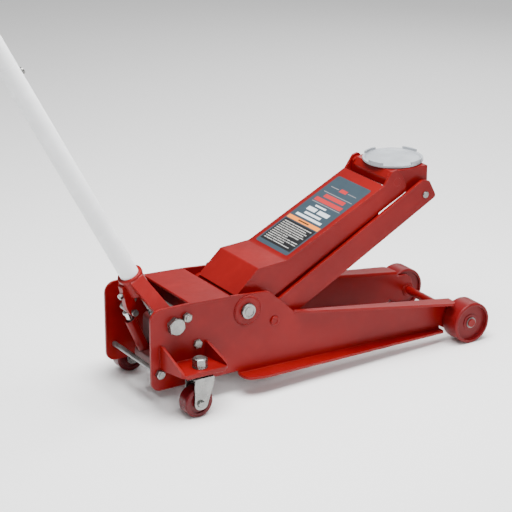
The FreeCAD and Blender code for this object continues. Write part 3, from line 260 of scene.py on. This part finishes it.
def label_print(name):
    """A printed label: slate ground, red and pale bars, an orange stripe and a dark panel."""
    ink = Finish(name)
    spot = ink.node("ShaderNodeUVMap", {"uv_map": LABEL_UV})
    across = ink.node("ShaderNodeSeparateXYZ", {}, {0: spot}, "X")
    along = ink.node("ShaderNodeSeparateXYZ", {}, {0: spot}, "Y")
    body = ink.mix(ink.noise(30.0, 3.0), (0.020, 0.034, 0.046), (0.028, 0.046, 0.060))

    def panel(left, right, low, high, soft=0.004):
        return across.band(left, right, soft) * along.band(low, high, soft * 0.5)

    body = ink.mix(panel(0.04, 0.96, 0.045, 0.350), body, (0.006, 0.006, 0.007))
    row = (along - TEXT_LOW) / TEXT_ROW
    ragged = ink.node("ShaderNodeTexWhiteNoise", {"noise_dimensions": "1D"}, {"W": row.whole()})
    line = row.wrapped(1.0).band(0.28, 0.66, 0.06) * along.band(TEXT_LOW, TEXT_HIGH)
    words = ink.noise(420.0, 1.0, (1, 1, 1)).ramp(0.40, 0.46)
    text = line * (across.band(0.08, 0.92) * (1 - across.ramp(ragged * 0.5 + 0.55, ragged * 0.5 + 0.56))) * words
    body = ink.mix(text * 0.85, body, (0.46, 0.46, 0.44))
    body = ink.mix(panel(0.02, 0.98, 0.362, 0.405), body, (0.70, 0.19, 0.015))
    body = ink.mix(panel(0.34, 0.66, 0.376, 0.392), body, (0.04, 0.02, 0.01))
    for left, right, low, high in PALE_BARS:
        body = ink.mix(panel(left, right, low, high), body, (0.50, 0.54, 0.57))
    for left, right, low, high in RED_BARS:
        body = ink.mix(panel(left, right, low, high), body, (0.36, 0.016, 0.020))
    for left, right, low, high in THIN_LINES:
        body = ink.mix(panel(left, right, low, high, 0.002), body, (0.20, 0.19, 0.20))
    normal = ink.bump(ink.noise(200.0, 2.0), 0.00006, None, 0.4)
    rough = ink.noise(80.0, 2.0) * 0.12 + 0.36
    return ink.surface(Base_Color=body, Roughness=rough, Normal=normal, Specular_IOR_Level=0.3)


# Places on the label are shares of its width and of its length, from its lower left corner.
LABEL_UV = "label"
TEXT_LOW = 0.065
TEXT_HIGH = 0.335
TEXT_ROW = 0.0245
PALE_BARS = (
    (0.12, 0.88, 0.430, 0.458),
    (0.26, 0.74, 0.478, 0.504),
    (0.20, 0.46, 0.526, 0.572),
    (0.52, 0.84, 0.526, 0.572),
    (0.30, 0.62, 0.594, 0.612),
)
RED_BARS = (
    (0.10, 0.90, 0.655, 0.700),
    (0.22, 0.82, 0.722, 0.765),
    (0.40, 0.60, 0.840, 0.880),
)
THIN_LINES = (
    (0.10, 0.94, 0.636, 0.642),
    (0.10, 0.94, 0.780, 0.786),
    (0.12, 0.36, 0.856, 0.862),
    (0.64, 0.88, 0.856, 0.862),
)


# ------------------------------------------------------------------ mesh helpers
def piece(name, mesh, finish, body, slot, *stands_for):
    """Puts a finished mesh in the scene as a piece of the jack."""
    made = bpy.data.objects.new(name, mesh)
    bpy.context.scene.collection.objects.link(made)
    if finish is not None:
        mesh.materials.clear()
        mesh.materials.append(finish)
    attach(made, body)
    if stands_for:
        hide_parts(*stands_for)
    return made


def line_mesh(name, loops):
    """A mesh of open or closed runs of edges: each run is (points, closed)."""
    points, edges = [], []
    for run, closed in loops:
        first = len(points)
        points.extend(tuple(point) for point in run)
        edges.extend((first + i, first + i + 1) for i in range(len(run) - 1))
        if closed:
            edges.append((first + len(run) - 1, first))
    mesh = bpy.data.meshes.new(name)
    mesh.from_pydata(points, edges, [])
    return mesh


def circle(centre, radius, across, count=48, start=0.0, sweep=360.0):
    """Points of a circle whose axis is across."""
    axis = Vector(across).normalized()
    one = axis.orthogonal().normalized()
    two = axis.cross(one)
    steps = count if sweep >= 360 else count + 1
    turn = [math.radians(start + sweep * i / count) for i in range(steps)]
    return [Vector(centre) + radius * (math.cos(a) * one + math.sin(a) * two) for a in turn]


def lathe(name, profile, centre, axis, count=96):
    """A closed mesh turned from a profile of (radius, height) about an axis."""
    axis = Vector(axis).normalized()
    one = axis.orthogonal().normalized()
    shape = bmesh.new()
    corners = [shape.verts.new(Vector(centre) + radius * one + height * axis) for radius, height in profile]
    edges = [shape.edges.new((a, b)) for a, b in zip(corners, corners[1:])]
    settings = {"cent": Vector(centre), "axis": axis, "angle": math.tau, "steps": count, "use_duplicate": False}
    bmesh.ops.spin(shape, geom=corners + edges, **settings)
    bmesh.ops.remove_doubles(shape, verts=shape.verts, dist=1e-6)
    bmesh.ops.recalc_face_normals(shape, faces=shape.faces)
    mesh = bpy.data.meshes.new(name)
    shape.to_mesh(mesh)
    shape.free()
    for face in mesh.polygons:
        face.use_smooth = True
    mesh.set_sharp_from_angle(angle=math.radians(38))
    return mesh


def facing(node, normal, near=0.99999, least=0.0001):
    """Corners of a CAD node's faces that point one way and have more than the least area."""
    mesh = frame["nodes"][node].data
    want = Vector(normal).normalized()
    flats = [face for face in mesh.polygons if face.area > least and face.normal.dot(want) > near]
    picked = {v for face in flats for v in face.vertices}
    return np.array([mesh.vertices[v].co for v in sorted(picked)])


# ------------------------------------------------------------------ geometry nodes
class Recipe(Web):
    """A Geometry Nodes tree with named inputs."""

    def __init__(self, name, inputs):
        super().__init__(bpy.data.node_groups.new(name, "GeometryNodeTree"))
        self.names = {}
        self.tree.interface.new_socket("Geometry", in_out="INPUT", socket_type="NodeSocketGeometry")
        for key, kind in inputs.items():
            self.names[key] = self.tree.interface.new_socket(key, in_out="INPUT", socket_type=kind).identifier
        self.tree.interface.new_socket("Geometry", in_out="OUTPUT", socket_type="NodeSocketGeometry")
        self.start = self.tree.nodes.new("NodeGroupInput")

    def input(self, name):
        return Signal(self, self.start.outputs[name])

    def finish(self, shape):
        """Ends the tree in Realize Instances and Set Material."""
        real = self.node("GeometryNodeRealizeInstances", {}, {"Geometry": shape})
        done = self.node("GeometryNodeSetMaterial", {}, {"Geometry": real, "Material": self.input("Finish")})
        end = self.tree.nodes.new("NodeGroupOutput")
        self.tree.links.new(done.socket, end.inputs["Geometry"])
        return self

    def bake(self, name, mesh, values):
        """The mesh that the tree makes of a mesh with these input values."""
        carrier = bpy.data.objects.new(name, mesh)
        bpy.context.scene.collection.objects.link(carrier)
        grow = carrier.modifiers.new(name, "NODES")
        grow.node_group = self.tree
        for key, value in values.items():
            grow[self.names[key]] = value
        bpy.context.view_layer.update()
        graph = bpy.context.evaluated_depsgraph_get()
        made = bpy.data.meshes.new_from_object(carrier.evaluated_get(graph))
        carrier.modifiers.remove(grow)
        bpy.data.objects.remove(carrier)
        return made


def bead_recipe():
    """A weld bead along edges: overlapping flattened ripples."""
    inputs = {"Radius": "NodeSocketFloat", "Step": "NodeSocketFloat", "Finish": "NodeSocketMaterial"}
    web = Recipe("weld_bead", inputs)
    path = web.node("GeometryNodeMeshToCurve", {}, {"Mesh": web.input("Geometry")})
    even = web.node("GeometryNodeResampleCurve", {"mode": "LENGTH"}, {"Curve": path, "Length": web.input("Step")})
    along = web.node("GeometryNodeInputTangent")
    turn = web.node("FunctionNodeAlignRotationToVector", {"axis": "Z"}, {"Vector": along})
    ripple = web.node("GeometryNodeMeshUVSphere", {}, {"Segments": 10, "Rings": 6, "Radius": web.input("Radius")})
    wide = web.node("FunctionNodeRandomValue", {"data_type": "FLOAT"}, {2: 0.82, 3: 1.12, "Seed": 7}, 1)
    grown = web.node("ShaderNodeCombineXYZ", {}, {0: wide, 1: wide, 2: wide * 0.55})
    settings = {"Points": even, "Instance": ripple, "Rotation": turn, "Scale": grown}
    ripples = web.node("GeometryNodeInstanceOnPoints", {}, settings)
    return web.finish(web.node("GeometryNodeSetShadeSmooth", {}, {"Geometry": ripples}))


def rib_recipe():
    """Rings repeated along edges, each square to the line."""
    inputs = {
        "Radius": "NodeSocketFloat",
        "Depth": "NodeSocketFloat",
        "Step": "NodeSocketFloat",
        "Finish": "NodeSocketMaterial",
    }
    web = Recipe("ring_rows", inputs)
    path = web.node("GeometryNodeMeshToCurve", {}, {"Mesh": web.input("Geometry")})
    even = web.node("GeometryNodeResampleCurve", {"mode": "LENGTH"}, {"Curve": path, "Length": web.input("Step")})
    along = web.node("GeometryNodeInputTangent")
    turn = web.node("FunctionNodeAlignRotationToVector", {"axis": "Z"}, {"Vector": along})
    round_line = {"mode": "RADIUS"}
    ring_size = {"Resolution": 40, "Radius": web.input("Radius")}
    wire_size = {"Resolution": 6, "Radius": web.input("Depth")}
    loop = web.node("GeometryNodeCurvePrimitiveCircle", round_line, ring_size)
    wire = web.node("GeometryNodeCurvePrimitiveCircle", round_line, wire_size)
    ring = web.node("GeometryNodeCurveToMesh", {}, {"Curve": loop, "Profile Curve": wire})
    rings = web.node("GeometryNodeInstanceOnPoints", {}, {"Points": even, "Instance": ring, "Rotation": turn})
    return web.finish(web.node("GeometryNodeSetShadeSmooth", {}, {"Geometry": rings}))


# ------------------------------------------------------------------ settings
def colour_property(label, words, default):
    settings = {"subtype": "COLOR", "default": default, "min": 0, "max": 1}
    return bpy.props.FloatVectorProperty(name=label, description=words, **settings)


def length_property(label, words, default):
    return bpy.props.FloatProperty(name=label, description=words, unit="LENGTH", default=default)


def number_property(label, words, default):
    return bpy.props.FloatProperty(name=label, description=words, default=default)


class JackColours(bpy.types.PropertyGroup):
    red: colour_property("Red", "Enamel of the chassis, arm and rods", (0.188, 0.0034, 0.0034))
    deep_red: colour_property("Deep red", "Darker patches of the same enamel", (0.132, 0.0022, 0.0024))
    wheel_red: colour_property("Wheel red", "Front wheels", (0.140, 0.0048, 0.006))
    caster_red: colour_property("Caster red", "Caster wheels", (0.095, 0.0030, 0.0055))
    handle: colour_property("Handle", "Enamel of the handle tubes", (0.84, 0.85, 0.86))
    saddle: colour_property("Saddle", "Paint of the saddle", (0.33, 0.35, 0.375))
    zinc: colour_property("Zinc", "Plated nuts, bolts and forks", (0.27, 0.27, 0.26))
    steel: colour_property("Steel", "Dark steel of pins and spindles", (0.24, 0.235, 0.23))
    bright: colour_property("Bright steel", "Ground ram and plunger", (0.72, 0.72, 0.73))
    block: colour_property("Block", "Paint of the cast pump block", (0.070, 0.0025, 0.0025))
    rubber: colour_property("Rubber", "Handle grip", (0.014, 0.014, 0.015))
    bronze: colour_property("Bronze", "Bushes of the handle socket", (0.55, 0.33, 0.12))


class JackDetails(bpy.types.PropertyGroup):
    bead: length_property("Weld size", "Half width of a weld bead", 0.0022)
    bead_step: length_property("Weld ripple", "Distance between the ripples of a bead", 0.0019)
    label_rear: length_property("Label foot", "Label's lower edge in front of the arm's crown", 0.0055)
    label_length: length_property("Label length", "Length of the label along the arm", 0.258)
    label_width: length_property("Label width", "Width of the label", 0.131)
    label_height: length_property("Label thickness", "Thickness of the label", 0.0004)
    label_corner: length_property("Label corner", "Radius of the label's corners", 0.006)
    rib_step: length_property("Grip rib step", "Distance between the ribs of the grip", 0.0062)
    rib_depth: length_property("Grip rib depth", "Half depth of the grooves between the ribs", 0.0011)
    thread_step: length_property("Thread pitch", "Distance between thread crests", 0.00175)


class JackStage(bpy.types.PropertyGroup):
    azimuth: number_property("Azimuth", "Turn of the camera from the side view, in degrees", -32.67)
    elevation: number_property("Elevation", "Height of the camera above level, in degrees", 20.77)
    distance: length_property("Distance", "From the camera to the point it looks at", 4.75)
    focal: number_property("Focal length", "Millimetres on a 36 mm sensor", 147.31)
    target: bpy.props.FloatVectorProperty(
        name="Target",
        description="The point the camera looks at",
        subtype="XYZ",
        default=(0.14854, -0.00102, 0.27383),
    )
    floor: colour_property("Floor", "Colour of the floor", (0.94, 0.94, 0.94))


# ------------------------------------------------------------------ operators
NODE_FINISH = {
    "red": (
        "side_plate_left side_plate_right deck_cover caster_bracket_left caster_bracket_right pivot_boss_rings"
        " link_studs lift_arm arm_pivot_sleeve crank_lugs head_pin radius_rod_left radius_rod_right saddle_bracket"
        " handle_socket front_axle reservoir_tube gland_nut pump_barrel"
    ),
    "wheel_red": "front_wheel_left front_wheel_right",
    "caster_red": "caster_wheel_left caster_wheel_right",
    "zinc": (
        "rod_nuts cross_rod main_pivot_pin unit_bolts handle_pivot_bolts caster_stems caster_stem_nuts"
        " caster_fork_left caster_fork_right caster_axle_left caster_axle_right arm_anchor_bolt link_pin set_bolt"
        " handle_joint_screw filler_plug"
    ),
    "steel": (
        "axle_spacers axle_circlips caster_races crank_pin saddle_stem saddle_clip roller_pin press_roller"
        " release_knuckle release_spindle ram_head"
    ),
    "rod": "rear_tie_rod",
    "bright": "ram_rod pump_plunger ram_cylinder",
    "block": "pump_block",
    "handle": "handle_lower_tube handle_upper_tube",
    "saddle": "saddle",
    "rubber": "handle_grip",
    "bronze": "socket_bushes",
}


def made_finish(key):
    """A finish by its short name, made the first time it is asked for."""
    name = "jack_" + key
    if name in bpy.data.materials:
        return bpy.data.materials[name]
    tone = bpy.context.scene.jack_colours
    makers = {
        "red": lambda: enamel(name, tone.red, tone.deep_red),
        "wheel_red": lambda: enamel(name, tone.wheel_red, [c * 0.75 for c in tone.wheel_red], 0.38, 0.5),
        "caster_red": lambda: wheel_plastic(name, tone.caster_red),
        "zinc": lambda: plated(name, tone.zinc, 0.24),
        "steel": lambda: plated(name, tone.steel, 0.42),
        "rod": lambda: plated(name, tone.steel, 0.34, (1, 0.05, 1)),
        "bright": lambda: plated(name, tone.bright, 0.18),
        "block": lambda: cast(name, tone.block),
        "handle": lambda: enamel(name, tone.handle, [c * 0.93 for c in tone.handle], 0.36, 0.25),
        "saddle": lambda: cast(name, tone.saddle, 0.50, 0.0002),
        "rubber": lambda: grip_rubber(name, tone.rubber),
        "bronze": lambda: plated(name, tone.bronze, 0.35),
        "label": lambda: label_print(name),
    }
    return makers[key]()


class JACK_OT_paint(bpy.types.Operator):
    """Gives every metal, rubber and painted part its finish"""

    bl_idname = "jack.paint"
    bl_label = "Paint the parts"

    def execute(self, context):
        left = set(frame["nodes"])
        for key, names in NODE_FINISH.items():
            finish = made_finish(key)
            for name in names.split():
                slots = frame["nodes"][name].material_slots
                if not slots:
                    raise RuntimeError("no material slot on " + name)
                for slot in slots:
                    slot.material = finish
                left.discard(name)
        if left:
            raise RuntimeError("parts without a finish: " + ", ".join(sorted(left)))
        return {"FINISHED"}


class JACK_OT_label(bpy.types.Operator):
    """Lays the printed label on the long top plate of the lift arm"""

    bl_idname = "jack.label"
    bl_label = "Arm label"

    def execute(self, context):
        sizes = context.scene.jack_details
        top = arm_top()
        if len(top) < 3:
            raise RuntimeError("the top plate of the arm was not found")
        rear = Vector(top[np.argmin(top[:, 0])])
        front = Vector(top[np.argmax(top[:, 0])])
        along = Vector((front.x - rear.x, 0, front.z - rear.z)).normalized()
        up = Vector((-along.z, 0, along.x))
        foot = Vector((rear.x, 0, rear.z)) + along * sizes.label_rear
        half = sizes.label_width / 2
        outline = rounded_rectangle(half, sizes.label_length, sizes.label_corner)
        shape = bmesh.new()
        spots = shape.loops.layers.uv.new(LABEL_UV)
        corners = [shape.verts.new(foot - Vector((0, 1, 0)) * x + along * y) for x, y in outline]
        face = shape.faces.new(corners)
        raised = bmesh.ops.extrude_face_region(shape, geom=[face])
        lifted = [item for item in raised["geom"] if isinstance(item, bmesh.types.BMVert)]
        bmesh.ops.translate(shape, verts=lifted, vec=up * sizes.label_height)
        for side in shape.faces:
            for loop in side.loops:
                offset = loop.vert.co - foot
                u = 0.5 - offset.y / sizes.label_width
                loop[spots].uv = (u, offset.dot(along) / sizes.label_length)
        bmesh.ops.recalc_face_normals(shape, faces=shape.faces)
        mesh = bpy.data.meshes.new("arm_label")
        shape.to_mesh(mesh)
        shape.free()
        piece("arm_label", mesh, made_finish("label"), "lift_arm", "red_enamel")
        return {"FINISHED"}


def arm_top():
    """Corners of the lift arm's long top plate."""
    mesh = frame["nodes"]["lift_arm"].data
    sums = {}
    for face in mesh.polygons:
        if face.normal.z > 0.7 and abs(face.normal.y) < 0.01:
            key = round(face.normal.x, 3)
            sums[key] = sums.get(key, 0.0) + face.area
    best = max(sums, key=sums.get)
    return facing("lift_arm", (best, 0, math.sqrt(1 - best * best)))


def rounded_rectangle(half, length, radius, steps=6):
    """Corners of a rectangle from (-half, 0) to (half, length), rounded."""
    points = []
    right, left, low, high = half - radius, radius - half, radius, length - radius
    centres = ((right, low), (right, high), (left, high), (left, low))
    for i, (x, y) in enumerate(centres):
        for k in range(steps + 1):
            a = math.radians(-90 + 90 * i + 90 * k / steps)
            points.append((x + radius * math.cos(a), y + radius * math.sin(a)))
    return points


# Places of the beads on a caster bracket, in metres: heights above the fork's crown, a drop
# from the top of the rear wall, and distances in front of its rear end.
UPRIGHT_LOW = 0.010
UPRIGHT_TOP = 0.003
SHELF_BEAD = 0.0185
SHELF_REAR = 0.008
SHELF_FRONT = 0.108


class JACK_OT_welds(bpy.types.Operator):
    """Runs weld beads where brackets, rings, the axle and the sleeve are welded on"""

    bl_idname = "jack.welds"
    bl_label = "Weld beads"

    def execute(self, context):
        sizes = context.scene.jack_details
        recipe = bead_recipe()
        values = {"Radius": sizes.bead, "Step": sizes.bead_step, "Finish": made_finish("red")}
        runs = {"chassis": self.chassis_runs(sizes.bead), "lift_arm": self.arm_runs(sizes.bead)}
        for body, loops in runs.items():
            name = body + "_weld_beads"
            mesh = recipe.bake(name, line_mesh(name, loops), values)
            if not mesh.polygons:
                raise RuntimeError("no weld beads were made on " + body)
            piece(name, mesh, None, body, "red_enamel")
        return {"FINISHED"}

    def chassis_runs(self, bead):
        """Beads round the boss rings, along the caster brackets and inside the axle's holes."""
        loops = []
        sink = bead * 0.3
        low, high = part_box("deck_cover")
        plate_outside = max(abs(low.y), abs(high.y))
        plate_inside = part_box("side_plate_left")[0].y
        low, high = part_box("pivot_boss_rings")
        boss = (high.x - low.x) / 2
        lift = pivot("arm_lift")
        axle_low, axle_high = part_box("front_axle")
        collar = (axle_high.x - axle_low.x) / 2
        axle = (axle_low + axle_high) / 2
        for side, sign in SIDES:
            bracket_low, bracket_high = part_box("caster_bracket_" + side)
            crown = pivot("caster_%s_swivel" % side).z
            out = sign * (plate_outside + sink)
            loops.append((circle((lift.x, out, lift.z), boss + sink, (0, 1, 0), 64), True))
            rear = bracket_low.x
            wall = rear - bead * 0.2
            upright = [(wall, out, crown + UPRIGHT_LOW), (wall, out, bracket_high.z - UPRIGHT_TOP)]
            loops.append((upright, False))
            shelf = crown + SHELF_BEAD
            loops.append(([(rear + SHELF_REAR, out, shelf), (rear + SHELF_FRONT, out, shelf)], False))
            inner = sign * (plate_inside - sink)
            loops.append((circle((axle.x, inner, axle.z), collar + sink, (0, 1, 0), 40), True))
        return loops

    def arm_runs(self, bead):
        """A bead round the pivot sleeve on each side of the arm."""
        loops = []
        lift = pivot("arm_lift")
        sleeve_low, sleeve_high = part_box("arm_pivot_sleeve")
        radius = (sleeve_high.z - sleeve_low.z) / 2
        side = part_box("lift_arm")[1].y
        for sign in (1, -1):
            loops.append((circle((lift.x, sign * side, lift.z), radius + bead * 0.4, (0, 1, 0), 56), True))
        return loops


class JACK_OT_grip(bpy.types.Operator):
    """Makes the ribbed rubber grip at the top of the handle"""

    bl_idname = "jack.grip"
    bl_label = "Handle grip"

    def execute(self, context):
        sizes = context.scene.jack_details
        foot = pivot("handle_twist")
        axis = Vector(JOINTS["handle_twist"]["axis"]).normalized()
        points = np.array([v.co - foot for v in frame["nodes"]["handle_grip"].data.vertices])
        heights = points @ np.array(axis)
        around = np.linalg.norm(points - np.outer(heights, axis), axis=1)
        low, high, outer = float(heights.min()), float(heights.max()), float(around.max())
        inner = float(around[heights < low + 0.002].min())
        rib = sizes.rib_depth
        profile = [(inner, low), (outer - 0.002, low), (outer, low + 0.002), (outer, low + 0.010)]
        step = sizes.rib_step
        count = int((high - low - 0.034) / step)
        for i in range(count):
            base = low + 0.012 + i * step
            profile += [(outer - 2 * rib, base), (outer - 2 * rib, base + 0.3 * step)]
            profile += [(outer - 0.4 * rib, base + 0.45 * step), (outer - 0.4 * rib, base + 0.9 * step)]
        profile += [(outer, high - 0.016), (outer, high - 0.005)]
        profile += [(outer - 0.0015, high - 0.0015), (outer - 0.005, high)]
        profile += [(0, high), (0, high - 0.004), (inner, high - 0.004), (inner, low)]
        mesh = lathe("handle_grip_ribbed", profile, foot, axis)
        piece("handle_grip_ribbed", mesh, made_finish("rubber"), "handle", "black_rubber", "handle_grip")
        return {"FINISHED"}


THREAD_RADIUS = 0.0057
THREAD_DEPTH = 0.0005
THREAD_OUT = 0.0004     # outermost and innermost crest from the end of the rod
THREAD_IN = 0.0022


class JACK_OT_threads(bpy.types.Operator):
    """Rings the ends of the tie rod and the cross rod with thread crests"""

    bl_idname = "jack.threads"
    bl_label = "Bolt threads"

    def execute(self, context):
        sizes = context.scene.jack_details
        recipe = rib_recipe()
        loops = []
        for node in ("rear_tie_rod", "cross_rod"):
            low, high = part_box(node)
            middle = (low + high) / 2
            for start, end in (
                (high.y - THREAD_IN, high.y - THREAD_OUT),
                (low.y + THREAD_OUT, low.y + THREAD_IN),
            ):
                loops.append(([(middle.x, start, middle.z), (middle.x, end, middle.z)], False))
        values = {
            "Radius": THREAD_RADIUS,
            "Depth": THREAD_DEPTH,
            "Step": sizes.thread_step / 2,
            "Finish": made_finish("zinc"),
        }
        mesh = recipe.bake("rod_threads", line_mesh("rod_threads", loops), values)
        if not mesh.polygons:
            raise RuntimeError("no threads were made")
        piece("rod_threads", mesh, None, "chassis", "zinc")
        return {"FINISHED"}


SKY_STRENGTH = 0.38
FLOOR_REACH = 9.0
# name, place, point it shines at, size, watts
LAMPS = (
    ("overhead", (0.1, -0.3, 2.6), (0.1, 0.0, 0.2), (2.2, 1.8), 225.0),
    ("near_side", (-1.0, -3.0, 1.7), (0.1, 0.0, 0.25), (1.8, 1.6), 36.0),
    ("far_side", (2.2, 1.8, 1.6), (0.1, 0.0, 0.3), (1.5, 1.5), 18.0),
)


class JACK_OT_stage(bpy.types.Operator):
    """Sets the pale floor, the soft lights and the camera"""

    bl_idname = "jack.stage"
    bl_label = "Studio"

    def execute(self, context):
        scene = context.scene
        stage = scene.jack_stage
        self.floor(stage)
        world = bpy.data.worlds.new("studio_air")
        world.use_nodes = True
        sky = world.node_tree.nodes["Background"]
        sky.inputs["Color"].default_value = (1.0, 1.0, 1.0, 1.0)
        sky.inputs["Strength"].default_value = SKY_STRENGTH
        scene.world = world
        for lamp in LAMPS:
            self.lamp(*lamp)
        self.camera(scene, stage)
        return {"FINISHED"}

    def floor(self, stage):
        grain = Finish("studio_floor")
        tone = grain.mix(grain.noise(2.0, 2.0) * 0.3, stage.floor, [c * 0.985 for c in stage.floor])
        finish = grain.surface(Base_Color=tone, Roughness=grain.noise(30.0) * 0.05 + 0.7)
        mesh = bpy.data.meshes.new("studio_floor")
        reach = FLOOR_REACH
        corners = [(-reach, -reach, 0), (reach, -reach, 0), (reach, reach, 0), (-reach, reach, 0)]
        mesh.from_pydata(corners, [], [(0, 1, 2, 3)])
        mesh.materials.append(finish)
        made = bpy.data.objects.new("studio_floor", mesh)
        bpy.context.scene.collection.objects.link(made)

    def lamp(self, name, place, towards, size, power):
        light = bpy.data.lights.new(name, "AREA")
        light.shape = "RECTANGLE"
        light.size, light.size_y = size
        light.energy = power
        made = bpy.data.objects.new(name, light)
        made.location = place
        made.rotation_euler = (Vector(towards) - Vector(place)).to_track_quat("-Z", "Y").to_euler()
        bpy.context.scene.collection.objects.link(made)

    def camera(self, scene, stage):
        turn, rise = math.radians(stage.azimuth), math.radians(stage.elevation)
        back = Vector((math.sin(turn) * math.cos(rise), -math.cos(turn) * math.cos(rise), math.sin(rise)))
        data = bpy.data.cameras.new("camera")
        data.sensor_width = 36.0
        data.lens = stage.focal
        made = bpy.data.objects.new("camera", data)
        made.location = Vector(stage.target) + back * stage.distance
        made.rotation_euler = (-back).to_track_quat("-Z", "Y").to_euler()
        scene.collection.objects.link(made)
        scene.camera = made


OPERATORS = (JACK_OT_paint, JACK_OT_label, JACK_OT_welds, JACK_OT_grip, JACK_OT_threads, JACK_OT_stage)


class JACK_PT_panel(bpy.types.Panel):
    """Lists the jack's pieces and settings"""

    bl_idname = "JACK_PT_panel"
    bl_label = "Trolley jack"
    bl_space_type = "VIEW_3D"
    bl_region_type = "UI"
    bl_category = "Jack"

    def draw(self, context):
        for operator in OPERATORS:
            self.layout.operator(operator.bl_idname)
        for group in (context.scene.jack_colours, context.scene.jack_details, context.scene.jack_stage):
            box = self.layout.box()
            for key in group.__annotations__:
                box.prop(group, key)


CLASSES = (JackColours, JackDetails, JackStage, *OPERATORS, JACK_PT_panel)


def register():
    for item in CLASSES:
        bpy.utils.register_class(item)
    bpy.types.Scene.jack_colours = bpy.props.PointerProperty(type=JackColours)
    bpy.types.Scene.jack_details = bpy.props.PointerProperty(type=JackDetails)
    bpy.types.Scene.jack_stage = bpy.props.PointerProperty(type=JackStage)


def unregister():
    del bpy.types.Scene.jack_stage
    del bpy.types.Scene.jack_details
    del bpy.types.Scene.jack_colours
    for item in reversed(CLASSES):
        bpy.utils.unregister_class(item)


def main():
    register()
    for operator in OPERATORS:
        group, name = operator.bl_idname.split(".")
        getattr(getattr(bpy.ops, group), name)()


if __name__ == "__main__":
    main()
